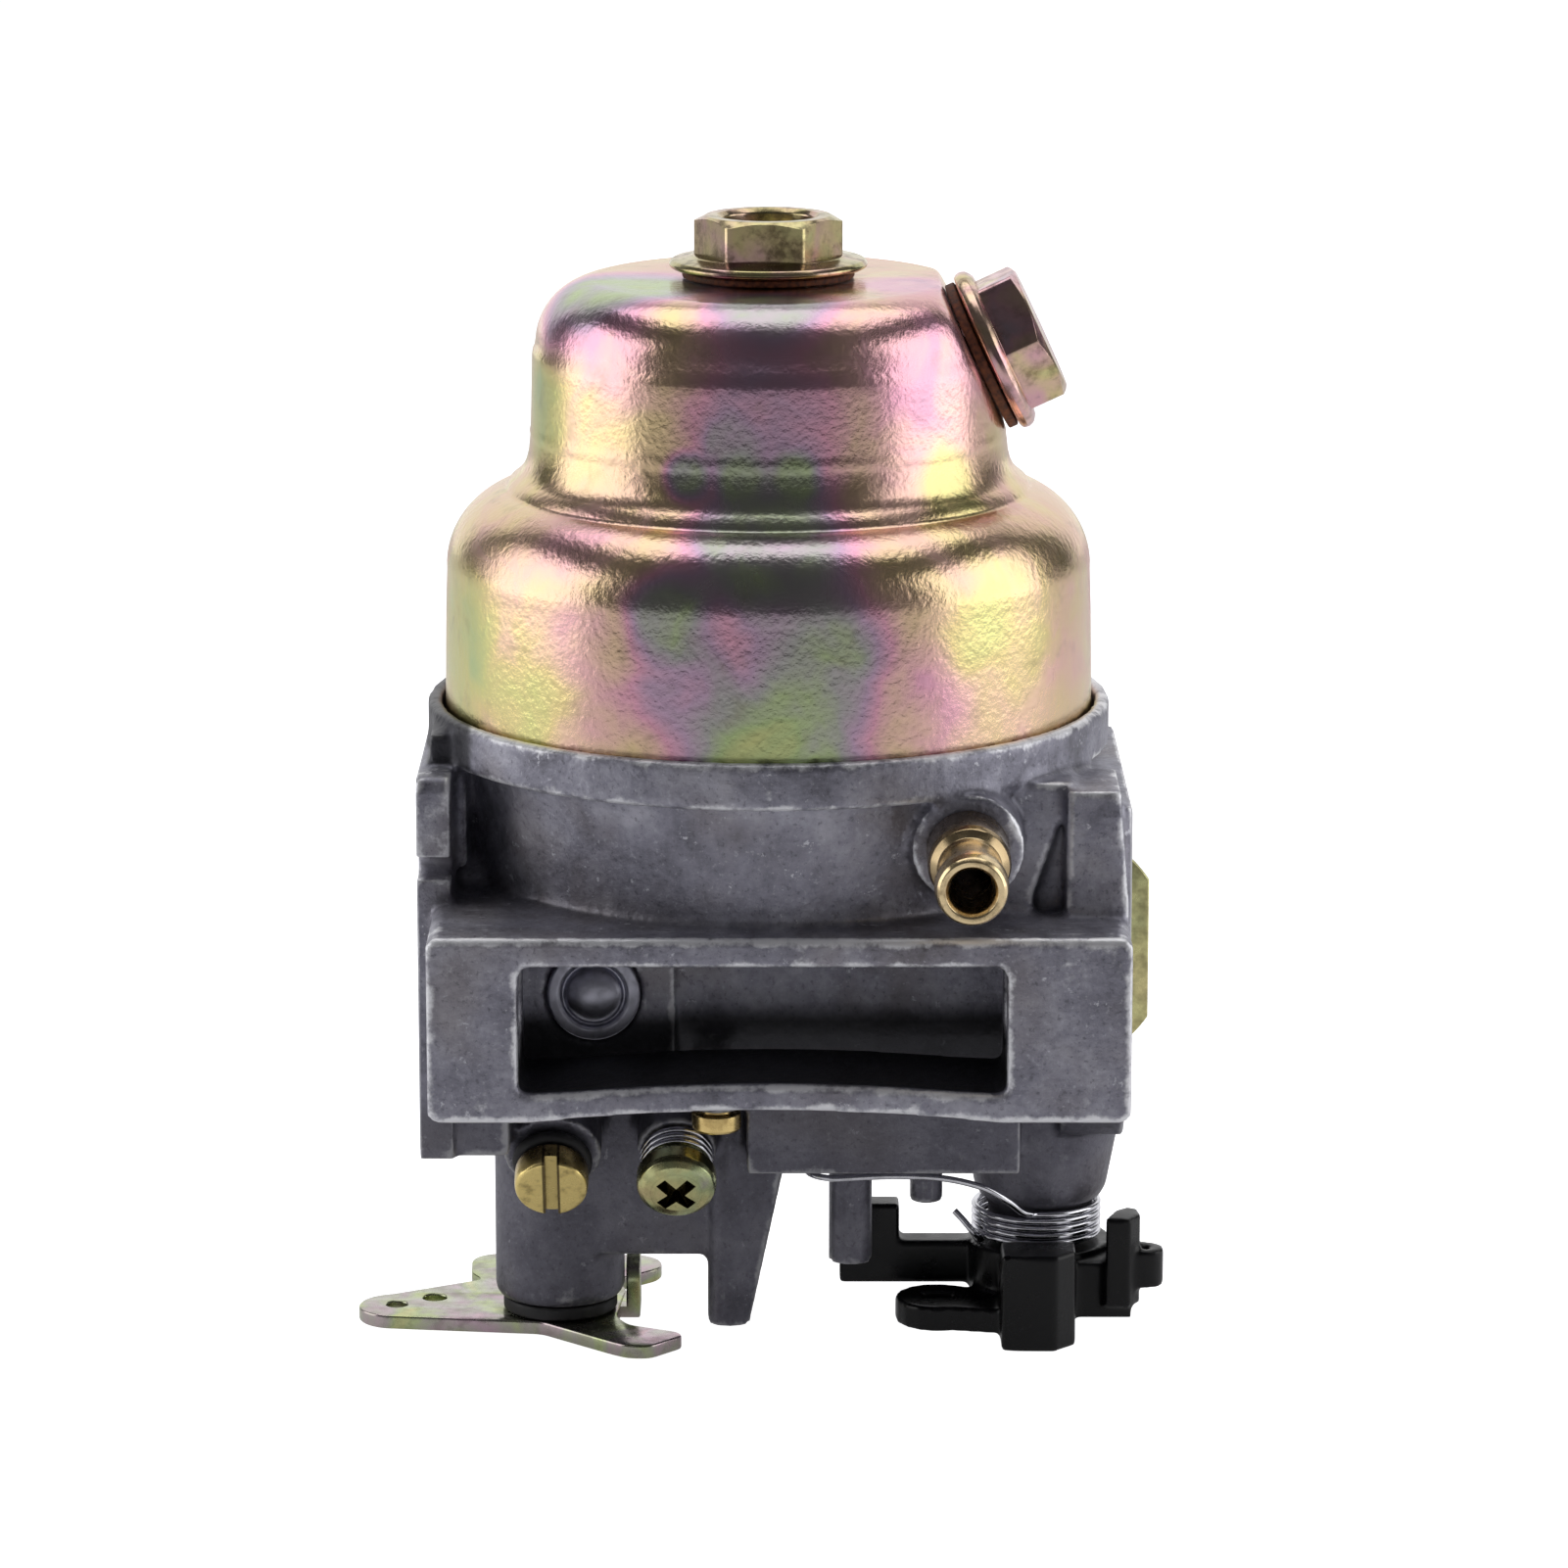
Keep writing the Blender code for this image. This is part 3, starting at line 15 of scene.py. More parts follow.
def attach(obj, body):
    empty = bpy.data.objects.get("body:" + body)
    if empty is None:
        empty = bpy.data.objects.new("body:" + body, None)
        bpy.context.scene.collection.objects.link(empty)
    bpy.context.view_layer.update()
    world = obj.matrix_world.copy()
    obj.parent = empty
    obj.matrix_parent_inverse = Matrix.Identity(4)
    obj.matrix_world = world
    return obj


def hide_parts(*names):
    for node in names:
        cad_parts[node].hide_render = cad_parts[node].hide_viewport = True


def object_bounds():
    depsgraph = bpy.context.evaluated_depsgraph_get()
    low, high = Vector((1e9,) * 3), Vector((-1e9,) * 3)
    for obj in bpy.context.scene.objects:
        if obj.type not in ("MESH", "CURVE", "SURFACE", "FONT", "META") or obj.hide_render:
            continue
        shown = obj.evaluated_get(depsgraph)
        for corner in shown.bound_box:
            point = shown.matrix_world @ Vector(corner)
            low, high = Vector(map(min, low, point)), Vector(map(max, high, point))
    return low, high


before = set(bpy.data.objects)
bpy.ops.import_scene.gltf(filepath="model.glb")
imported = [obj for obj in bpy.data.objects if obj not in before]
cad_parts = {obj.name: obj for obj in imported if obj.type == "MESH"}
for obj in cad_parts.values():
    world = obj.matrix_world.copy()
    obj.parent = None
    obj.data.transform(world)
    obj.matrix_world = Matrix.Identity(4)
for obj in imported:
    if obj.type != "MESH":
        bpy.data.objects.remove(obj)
cad_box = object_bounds()

# ---------------------------------------------------------------- casting
# The body is one pressure die casting in zinc-aluminium alloy. It leaves the die with a small radius
# on every edge and a larger one in every corner. Its two faces and its bores are then machined, and
# handling wears the edges bright.

MM = 0.001
AIR_FACE = 54.2 * MM
CASTING_VOXEL = 0.31 * MM
CASTING_TRIANGLES = 190_000
THROTTLE_X = 10.1 * MM
CHOKE_X = 48.0 * MM
STUD_Y = 21.0 * MM
BORE_REACH = 10.5 * MM
BORE_CUT = 10.4 * MM
FACE_CUT = 0.12 * MM
STUD_HOLE_REACH = 3.5 * MM
THROTTLE_HOLE_REACH = 3.0 * MM
CHOKE_HOLE_REACH = 3.2 * MM


def welded_copy(node):
    """The mesh of a CAD solid as one closed skin, in a mesh of its own."""
    bm = bmesh.new()
    bm.from_mesh(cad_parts[node].data)
    bmesh.ops.remove_doubles(bm, verts=bm.verts, dist=1e-6)
    mesh = bpy.data.meshes.new(node + "_copy")
    bm.to_mesh(mesh)
    bm.free()
    return mesh


def linked(name, data):
    """A new object in the scene."""
    obj = bpy.data.objects.new(name, data)
    bpy.context.scene.collection.objects.link(obj)
    return obj


def applied(obj):
    """The object with its modifiers worked into its mesh."""
    graph = bpy.context.evaluated_depsgraph_get()
    mesh = bpy.data.meshes.new_from_object(obj.evaluated_get(graph), depsgraph=graph)
    old = obj.data
    obj.modifiers.clear()
    if isinstance(old, bpy.types.Mesh):
        obj.data = mesh
        bpy.data.meshes.remove(old)
        return obj
    name = obj.name
    bpy.data.objects.remove(obj)
    return linked(name, mesh)


def moulded(name, node, voxel, soften, fill, triangles, keep=None):
    """A CAD solid as it leaves a mould: edges rounded by soften passes, corners filled by fill passes.

    Its "edge" attribute is above 0 on outer edges and below 0 in corners.
    """
    obj = linked(name, welded_copy(node))
    skin = obj.modifiers.new("skin", "REMESH")
    skin.mode = "VOXEL"
    skin.voxel_size = voxel
    obj = applied(obj)
    mesh = obj.data
    count = len(mesh.vertices)
    places = np.empty(count * 3, np.float32)
    mesh.vertices.foreach_get("co", places)
    places = places.reshape(-1, 3).astype(float)
    ends = np.empty(len(mesh.edges) * 2, np.int32)
    mesh.edges.foreach_get("vertices", ends)
    one, other = ends.reshape(-1, 2).T
    valence = np.bincount(one, minlength=count) + np.bincount(other, minlength=count)

    def pull(values):
        """How far each point lies from the mean of its neighbours."""
        total = [
            np.bincount(one, values[other, k], count) + np.bincount(other, values[one, k], count)
            for k in range(values.shape[1])
        ]
        return np.stack(total, axis=1) / valence[:, None] - values

    def normals():
        """The skin's outward directions, with its points where they are now."""
        mesh.vertices.foreach_set("co", places.astype(np.float32).ravel())
        mesh.update()
        found = np.empty(count * 3, np.float32)
        mesh.vertex_normals.foreach_get("vector", found)
        return found.reshape(-1, 3)

    for _ in range(soften):
        places += 0.5 * pull(places)
    free = np.ones(count, bool) if keep is None else ~keep(places)
    for turn in range(fill):
        if turn % 3 == 0:
            outward = normals()
        step = pull(places)
        hollow = free & ((step * outward).sum(1) > 0)
        places[hollow] += 0.5 * step[hollow]
    outward = normals()
    bend = -(pull(places) * outward).sum(1)[:, None] / voxel
    for _ in range(2):
        bend += 0.5 * pull(bend)
    edge = mesh.attributes.new("edge", "FLOAT", "POINT")
    edge.data.foreach_set("value", bend.astype(np.float32).ravel())
    thin = obj.modifiers.new("thin", "DECIMATE")
    thin.ratio = min(1.0, triangles / (2 * len(mesh.polygons)))
    obj = applied(obj)
    obj.data.shade_smooth()
    return obj


def in_a_bore(places):
    """True for points of the casting that a drill or a reamer has sized."""
    x, y, z = places.T
    bore = np.hypot(y, z) < BORE_REACH
    studs = np.hypot(np.abs(y) - STUD_Y, z) < STUD_HOLE_REACH
    throttle = np.hypot(x - THROTTLE_X, y) < THROTTLE_HOLE_REACH
    choke = np.hypot(x - CHOKE_X, y) < CHOKE_HOLE_REACH
    return bore | studs | throttle | choke


casting = moulded(
    "die_casting", "carburetor_body", CASTING_VOXEL, 1, 9, CASTING_TRIANGLES, in_a_bore
)


def linear(red, green, blue):
    """A screen colour from 0 to 255 as the renderer's own colour."""
    parts = [c / 255 for c in (red, green, blue)]
    return (*[c / 12.92 if c < 0.04045 else ((c + 0.055) / 1.055) ** 2.4 for c in parts], 1)


def add(tree, kind, inputs=None, **settings):
    """A shader node with its settings. Each input is a value, or another node's output to link."""
    made = tree.nodes.new(kind)
    for name, value in settings.items():
        setattr(made, name, value)
    for name, value in (inputs or {}).items():
        if isinstance(value, bpy.types.NodeSocket):
            tree.links.new(value, made.inputs[name])
        else:
            made.inputs[name].default_value = value
    return made


def add_ramp(tree, factor, stops):
    """A colour for a value, from (place, colour) stops."""
    made = add(tree, "ShaderNodeValToRGB", {"Fac": factor})
    elements = made.color_ramp.elements
    while len(elements) < len(stops):
        elements.new(0.5)
    for element, (place, colour) in zip(elements, stops):
        element.position = place
        element.color = colour
    return made.outputs["Color"]


def add_range(tree, value, low, high, to_low=0.0, to_high=1.0):
    """A value carried smoothly from one range to another, which stays within the second."""
    inputs = {"Value": value, "From Min": low, "From Max": high, "To Min": to_low, "To Max": to_high}
    made = add(tree, "ShaderNodeMapRange", inputs, interpolation_type="SMOOTHSTEP")
    return made.outputs["Result"]


def add_mix(tree, factor, first, second):
    """The second colour laid over the first by a factor."""
    made = add(tree, "ShaderNodeMix", data_type="RGBA")
    for socket, value in zip((made.inputs[0], made.inputs[6], made.inputs[7]), (factor, first, second)):
        if isinstance(value, bpy.types.NodeSocket):
            tree.links.new(value, socket)
        else:
            socket.default_value = value
    return made.outputs[2]


def add_math(tree, operation, first, second=0.0):
    made = add(tree, "ShaderNodeMath", {0: first, 1: second}, operation=operation)
    return made.outputs[0]


def add_product(tree, first, *others):
    for other in others:
        first = add_math(tree, "MULTIPLY", first, other)
    return first


def add_band(tree, value, low, high, fade):
    """1 where a value lies between two limits, fading out over a distance inside them."""
    return add_product(
        tree, add_range(tree, value, low, low + fade), add_range(tree, value, high, high - fade)
    )


def add_place(tree):
    """Where a point lies on the whole object, in metres."""
    return add(tree, "ShaderNodeTexCoord").outputs["Object"]


def add_noise(tree, place, scale, detail, roughness=0.5, distortion=0.0):
    """Cloudy noise from 0 to 1, with its scale in clouds per metre."""
    inputs = {
        "Vector": place, "Scale": scale, "Detail": detail, "Roughness": roughness, "Distortion": distortion,
    }
    return add(tree, "ShaderNodeTexNoise", inputs).outputs["Fac"]


def node_group(name, inputs, outputs):
    """An empty shader group, its input node and its output node. Inputs are (name, default)."""
    tree = bpy.data.node_groups.new(name, "ShaderNodeTree")
    for label, value in inputs:
        socket = tree.interface.new_socket(label, in_out="INPUT", socket_type="NodeSocketFloat")
        socket.default_value = value
    for label, kind in outputs:
        tree.interface.new_socket(label, in_out="OUTPUT", socket_type=kind)
    return tree, tree.nodes.new("NodeGroupInput"), tree.nodes.new("NodeGroupOutput")


def add_group(tree, group, **inputs):
    """A shared effect placed in a material with its own values, and its outputs."""
    made = tree.nodes.new("ShaderNodeGroup")
    made.node_tree = group
    for name, value in inputs.items():
        socket = made.inputs[name]
        if isinstance(value, bpy.types.NodeSocket):
            tree.links.new(value, socket)
        else:
            socket.default_value = value
    return made.outputs


def new_material(name, **plain):
    """A material and its Principled shader, with the plain values set on the shader's sockets."""
    made = bpy.data.materials.new(name)
    made.use_nodes = True
    shader = made.node_tree.nodes["Principled BSDF"]
    for label, value in plain.items():
        shader.inputs[label.replace("_", " ")].default_value = value
    return made, made.node_tree, shader


def drive(tree, shader, **sockets):
    """Links values that change over the surface to the shader's sockets."""
    for label, value in sockets.items():
        tree.links.new(value, shader.inputs[label.replace("_", " ")])


# Grain: the fine unevenness of a surface, at a scale in grains per metre.
GRAIN, grain_in, grain_out = node_group(
    "grain",
    [("Scale", 2000.0), ("Depth", 0.00003), ("Strength", 0.5)],
    [("Normal", "NodeSocketVector")],
)
grain_noise = add_noise(GRAIN, add_place(GRAIN), grain_in.outputs["Scale"], 3.0, 0.55)
grain_bump = add(
    GRAIN, "ShaderNodeBump",
    {"Strength": grain_in.outputs["Strength"], "Distance": grain_in.outputs["Depth"], "Height": grain_noise},
)
GRAIN.links.new(grain_bump.outputs["Normal"], grain_out.inputs["Normal"])

# Edge wear: where the "edge" attribute is high, broken up by noise so that it comes and goes.
WEAR, wear_in, wear_out = node_group(
    "edge_wear", [("Start", 0.1), ("Full", 0.3), ("Scale", 900.0)], [("Mask", "NodeSocketFloat")]
)
wear_edge = add(WEAR, "ShaderNodeAttribute", attribute_name="edge").outputs["Fac"]
wear_noise = add_noise(WEAR, add_place(WEAR), wear_in.outputs["Scale"], 4.0, 0.7)
wear_shift = add_product(WEAR, add_math(WEAR, "SUBTRACT", wear_noise, 0.5), 0.3)
broken_edge = add_math(WEAR, "ADD", wear_edge, wear_shift)
wear_mask = add_range(WEAR, broken_edge, wear_in.outputs["Start"], wear_in.outputs["Full"])
WEAR.links.new(wear_mask, wear_out.inputs["Mask"])

BLOCK_BOTTOM = -7.1 * MM
POCKET_X = (7.6 * MM, 44.8 * MM)
POCKET_Y = (10.4 * MM, 25.6 * MM)
POCKET_TOP = -0.8 * MM
ENGINE_PLATE_X = 3.8 * MM
ENGINE_PLATE_TOP = 16.9 * MM


def cast_alloy():
    """Grey alloy: cloudy, pitted and chipped, bright on worn edges, with painted shade in corners and
    pockets, darker low down.
    """
    made, tree, shader = new_material("cast_alloy_grey", Metallic=0.6, Specular_IOR_Level=0.5)
    place = add_place(tree)
    patches = add_noise(tree, place, 140.0, 9.0, 0.72)
    colour = add_ramp(
        tree, patches,
        [(0.34, linear(108, 107, 117)), (0.5, linear(148, 147, 160)), (0.64, linear(182, 181, 192))],
    )
    brown = add_range(tree, add_noise(tree, place, 75.0, 3.0), 0.5, 0.68, 0.0, 0.4)
    colour = add_mix(tree, brown, colour, linear(128, 118, 112))
    specks = add_noise(tree, place, 2300.0, 4.0, 0.65)
    dark = add_range(tree, specks, 0.44, 0.32, 0.0, 0.4)
    colour = add_mix(tree, dark, colour, linear(62, 61, 68))
    light = add_range(tree, specks, 0.58, 0.7, 0.0, 0.5)
    colour = add_mix(tree, light, colour, linear(190, 190, 200))
    chips = add_range(tree, add_noise(tree, place, 620.0, 6.0, 0.75), 0.625, 0.665, 0.0, 0.8)
    colour = add_mix(tree, chips, colour, linear(214, 214, 222))

    # Scratches run along X, on faces that look up.
    drawn = add(tree, "ShaderNodeMapping", {"Vector": place, "Scale": (0.12, 1.0, 1.0)}).outputs["Vector"]
    scratches = add_range(tree, add_noise(tree, drawn, 2600.0, 2.0), 0.66, 0.72, 0.0, 0.7)
    facing = add(tree, "ShaderNodeNewGeometry").outputs["Normal"]
    up = add(tree, "ShaderNodeSeparateXYZ", {"Vector": facing}).outputs["Z"]
    scratches = add_product(tree, scratches, add_range(tree, up, 0.5, 0.9))
    colour = add_mix(tree, scratches, colour, linear(226, 226, 232))

    edge = add(tree, "ShaderNodeAttribute", attribute_name="edge").outputs["Fac"]
    # Painted shade: corners, where the edge attribute is below 0, are darkened towards near black.
    corner = add_range(tree, edge, -0.02, -0.12, 0.0, 0.7)
    colour = add_mix(tree, corner, colour, linear(40, 38, 42))
    wear = add_group(tree, WEAR, Start=0.05, Full=0.13, Scale=420.0)["Mask"]
    colour = add_mix(tree, wear, colour, linear(240, 240, 244))

    # Darker towards the bottom below the stud blocks, painted shade in their pockets, and a painted shadow on
    # the engine plate's top.
    x, y, z = add(tree, "ShaderNodeSeparateXYZ", {"Vector": place}).outputs
    lower_darkening = add_range(tree, z, BLOCK_BOTTOM, BLOCK_BOTTOM - 3 * MM, 0.0, 0.62)
    colour = add_mix(tree, lower_darkening, colour, linear(58, 56, 64))
    # Painted shade: the lower part of each pocket under the stud blocks is darkened nearly to black.
    pocket_shade = add_band(tree, add_math(tree, "ABSOLUTE", y), *POCKET_Y, 0.5 * MM)
    across = add_band(tree, x, *POCKET_X, 0.4 * MM)
    height = add_product(
        tree, add_range(tree, z, POCKET_TOP, POCKET_TOP - 2 * MM),
        add_range(tree, z, BLOCK_BOTTOM, BLOCK_BOTTOM + 0.5 * MM),
    )
    colour = add_mix(tree, add_product(tree, pocket_shade, across, height, 0.93), colour, linear(24, 24, 26))
    # Painted shadow: the engine plate's top, next to the engine face, is darkened nearly to black.
    plate_top_shadow = add_product(
        tree, add_range(tree, x, ENGINE_PLATE_X + 0.6 * MM, ENGINE_PLATE_X),
        add_range(tree, z, ENGINE_PLATE_TOP, ENGINE_PLATE_TOP + 0.4 * MM),
    )
    colour = add_mix(tree, add_product(tree, plate_top_shadow, 0.85), colour, linear(30, 30, 34))

    machined = add(tree, "ShaderNodeAttribute", attribute_name="machined").outputs["Fac"]
    colour = add_mix(tree, machined, colour, linear(190, 190, 196))
    rough = add_mix(tree, machined, add_range(tree, patches, 0.3, 0.7, 0.38, 0.52), (0.3, 0.3, 0.3, 1))
    grain = add_group(tree, GRAIN, Scale=1500.0, Depth=0.00009, Strength=0.85)["Normal"]
    drive(tree, shader, Base_Color=colour, Roughness=rough, Normal=grain)
    return made


def fit(obj, material, body, slot, *nodes):
    """Gives a finished piece its finish, its moving body, and the CAD nodes that it stands for."""
    obj.data.materials.clear()
    obj.data.materials.append(material)
    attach(obj, body)
    if nodes:
        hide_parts(*nodes)
    return obj


def mark_machined(obj):
    """Marks the two mounting faces and the bores, which are cut after casting."""
    places = np.empty(len(obj.data.vertices) * 3, np.float32)
    obj.data.vertices.foreach_get("co", places)
    x, y, z = places.reshape(-1, 3).T
    faces = (x < FACE_CUT) | (x > AIR_FACE - FACE_CUT)
    bore = np.hypot(y, z) < BORE_CUT
    mark = obj.data.attributes.new("machined", "FLOAT", "POINT")
    mark.data.foreach_set("value", (faces | bore).astype(np.float32))


mark_machined(casting)
fit(casting, cast_alloy(), "housing", "cast_alloy", "carburetor_body")

# ---------------------------------------------------------------- bowl gasket
# A square-cut ring of nitrile rubber lies in the casting's groove, and the bowl's rim presses on it.


def rounded(loop, radius, steps=4):
    """A closed loop of 2-D points with its corners rounded, except those on the axis."""
    done = []
    for before, corner, after in zip(loop[-1:] + loop[:-1], loop, loop[1:] + loop[:1]):
        if corner[0] < 1e-7:
            done.append(corner)
            continue
        before, corner, after = Vector(before), Vector(corner), Vector(after)
        start = corner + (before - corner).normalized() * min(radius, 0.4 * (before - corner).length)
        end = corner + (after - corner).normalized() * min(radius, 0.4 * (after - corner).length)
        for i in range(steps + 1):
            share = i / steps
            point = start.lerp(corner, share).lerp(corner.lerp(end, share), share)
            done.append((point.x, point.y))
    return done


def in_mm(points):
    """Points that are given in mm, in metres."""
    return [(a * MM, b * MM) for a, b in points]


def along(direction):
    """The rotation that carries +Z onto a direction."""
    return Vector(direction).to_track_quat("Z", "Y").to_matrix().to_4x4()


def smooth_object(name, bm, sharp=38):
    """The finished mesh as an object, smooth but for edges sharper than so many degrees."""
    bmesh.ops.remove_doubles(bm, verts=bm.verts, dist=1e-7)
    bmesh.ops.recalc_face_normals(bm, faces=bm.faces)
    mesh = bpy.data.meshes.new(name)
    bm.to_mesh(mesh)
    bm.free()
    mesh.shade_smooth()
    mesh.set_sharp_from_angle(angle=radians(sharp))
    return linked(name, mesh)


def turned(name, profile, base=(0, 0, 0), axis=(0, 0, 1), soften=0.12 * MM, count=96, shape=None):
    """A lathe-turned piece from a closed loop of (radius, height) points.

    Shape, where given, changes the radius by (angle, radius, height), as for a hexagon.
    """
    profile = rounded(profile, soften) if soften else profile
    bm = bmesh.new()
    rows = []
    for radius, height in profile:
        if radius < 1e-7:
            rows.append([bm.verts.new((0, 0, height))] * count)
            continue
        row = []
        for i in range(count):
            angle = 2 * pi * i / count
            reach = shape(angle, radius, height) if shape else radius
            row.append(bm.verts.new((reach * cos(angle), reach * sin(angle), height)))
        rows.append(row)
    on_axis = profile[0][0] < 1e-7 and profile[-1][0] < 1e-7
    pairs = list(zip(rows, rows[1:])) + ([] if on_axis else [(rows[-1], rows[0])])
    for low, high in pairs:
        for i in range(count):
            corners = [low[i], low[i - 1], high[i - 1], high[i]]
            corners = list(dict.fromkeys(corners))
            if len(corners) > 2:
                bm.faces.new(corners)
    place = Matrix.Translation(Vector(base)) @ along(axis)
    bmesh.ops.transform(bm, matrix=place, verts=bm.verts)
    return smooth_object(name, bm)


BOWL_X = 26.6 * MM


def rubber():
    """Black nitrile rubber, a little dusty."""
    made, tree, shader = new_material("black_rubber", Metallic=0.0)
    dust = add_noise(tree, add_place(tree), 900.0, 4.0)
    colour = add_ramp(tree, dust, [(0.4, linear(22, 22, 24)), (0.75, linear(52, 51, 52))])
    rough = add_range(tree, dust, 0.3, 0.7, 0.5, 0.75)
    grain = add_group(tree, GRAIN, Scale=2600.0, Depth=0.00003, Strength=0.5)["Normal"]
    drive(tree, shader, Base_Color=colour, Roughness=rough, Normal=grain)
    return made


black_rubber = rubber()
gasket_profile = in_mm([(23.2, 17.12), (24.8, 17.12), (24.8, 18.78), (23.2, 18.78)])
gasket = turned("bowl_seal_ring", gasket_profile, (BOWL_X, 0, 0), soften=0.3 * MM, count=160)
fit(gasket, black_rubber, "housing", "seal_rubber", "bowl_gasket")

# ---------------------------------------------------------------- float bowl
# The bowl is deep-drawn from steel sheet in two steps, with shallow bands where the press has sized
# the upper one, and a flat struck into its side for the drain bolt. Yellow chromate over zinc gives
# it pink, gold and green tints, and the drawing has left the steel with a leather-like grain.

BOWL_TOP = 52.8 * MM
BOWL_WALL = 0.8 * MM
DRAIN_TILT = radians(25)
DRAIN_AXIS = Vector((cos(DRAIN_TILT), 0, sin(DRAIN_TILT)))
DRAIN_SEAT = Vector((42.5, 0, 46.6)) * MM
BOLT_HOLE = 3.3 * MM
STRUCK_ABOVE = 39.3 * MM
STRUCK_FADE = 1.6 * MM
STRUCK_ROUND = 0.5 * MM


def arc(centre, radius, start, end, count):
    """Points on an arc, with its angles in degrees."""
    angles = [radians(start + (end - start) * i / count) for i in range(count + 1)]
    return [(centre[0] + radius * cos(a), centre[1] + radius * sin(a)) for a in angles]


def bowl_side(inset):
    """The bowl's side from its rim to its top, in mm, moved inwards by inset."""
    side = [
        (25.0, 18.9), (25.0, 20.5), (24.96, 24.0), (24.9, 27.5), (24.8, 30.4),
        *arc((18.62, 30.7), 6.2, 4, 70, 14),
        (20.45, 36.62), (20.28, 36.68), (20.12, 36.9), (19.9, 37.3), (19.4, 37.68), (18.95, 38.15),
        (18.62, 38.8), (18.42, 39.6), (18.34, 40.4), (18.3, 40.8), (18.34, 41.15), (18.27, 41.5),
        (18.22, 43.0), (18.17, 45.0), (18.13, 46.9), (18.08, 47.4), (17.93, 47.7),
        *arc((13.0, 47.95), 4.85, 4, 84, 14),
        (13.2, 52.76), (12.4, 52.79), (10.0, 52.8), (8.0, 52.8),
    ]
    return [(max(r - inset, 0), z - (inset if z > 19 else 0)) for r, z in side]


def finer(line):
    """The line with points added, so that none are far apart."""
    done = []
    for first, second in zip(line, line[1:]):
        steps = max(1, round((Vector(second) - Vector(first)).length / (0.6 * MM)))
        done += [tuple(Vector(first).lerp(Vector(second), i / steps)) for i in range(steps)]
    return [*done, line[-1]]


def drawn_bowl():
    """The bowl turned from its profile, then struck flat where the drain bolt sits."""
    outside = finer(in_mm(bowl_side(0)))
    inside = finer(in_mm(bowl_side(BOWL_WALL / MM)))
    loop = [*outside, (BOLT_HOLE, BOWL_TOP), (BOLT_HOLE, BOWL_TOP - BOWL_WALL), *reversed(inside)]
    bowl = turned("float_bowl_cup", loop, (BOWL_X, 0, 0), soften=0, count=220)
    profile_r, profile_z = np.array(outside).T
    for vert in bowl.data.vertices:
        radius = Vector((vert.co.x - BOWL_X, vert.co.y)).length
        on_outside = np.hypot(profile_r - radius, profile_z - vert.co.z).min() < 0.45 * MM
        seat = DRAIN_SEAT if on_outside else DRAIN_SEAT - DRAIN_AXIS * BOWL_WALL
        beyond = (vert.co - seat).dot(DRAIN_AXIS)
        if vert.co.z > STRUCK_ABOVE and beyond > -STRUCK_ROUND:
            share = min(1.0, (vert.co.z - STRUCK_ABOVE) / STRUCK_FADE)
            rounding = beyond - (beyond + STRUCK_ROUND) ** 2 / (4 * STRUCK_ROUND)
            wanted = 0.0 if beyond > STRUCK_ROUND else rounding
            vert.co -= DRAIN_AXIS * (beyond - wanted) * share
    bowl.data.update()
    bowl.data.shade_smooth()
    return bowl


# Chromate tints: what the thickness of the film, from 0 to 1 and round again, does to the colour.
TINTS, tints_in, tints_out = node_group(
    "chromate_tints",
    [("Film", 0.4), ("Patches", 120.0), ("Spread", 0.8), ("Depth", 1.0)],
    [("Color", "NodeSocketColor"), ("Mask", "NodeSocketFloat")],
)
tints_noise = add_noise(TINTS, add_place(TINTS), tints_in.outputs["Patches"], 3.0, 0.45, 0.6)
tints_shift = add_product(TINTS, add_math(TINTS, "SUBTRACT", tints_noise, 0.5), tints_in.outputs["Spread"])
tints_film = add_math(TINTS, "FRACT", add_math(TINTS, "ADD", tints_in.outputs["Film"], tints_shift))
tints_colour = add_ramp(
    TINTS, tints_film,
    [
        (0.0, linear(184, 202, 146)),
        (0.14, linear(214, 210, 142)),
        (0.28, linear(226, 206, 148)),
        (0.42, linear(232, 194, 172)),
        (0.58, linear(230, 170, 190)),
        (0.74, linear(196, 166, 190)),
        (0.88, linear(178, 176, 172)),
        (1.0, linear(184, 202, 146)),
    ],
)
plain_yellow = linear(202, 192, 162)
tints_mix = add_mix(TINTS, tints_in.outputs["Depth"], plain_yellow, tints_colour)
TINTS.links.new(tints_mix, tints_out.inputs["Color"])
TINTS.links.new(tints_noise, tints_out.inputs["Mask"])


def distance_from(tree, place, centre):
    made = add(tree, "ShaderNodeVectorMath", {0: place, 1: tuple(centre)}, operation="DISTANCE")
    return made.outputs["Value"]


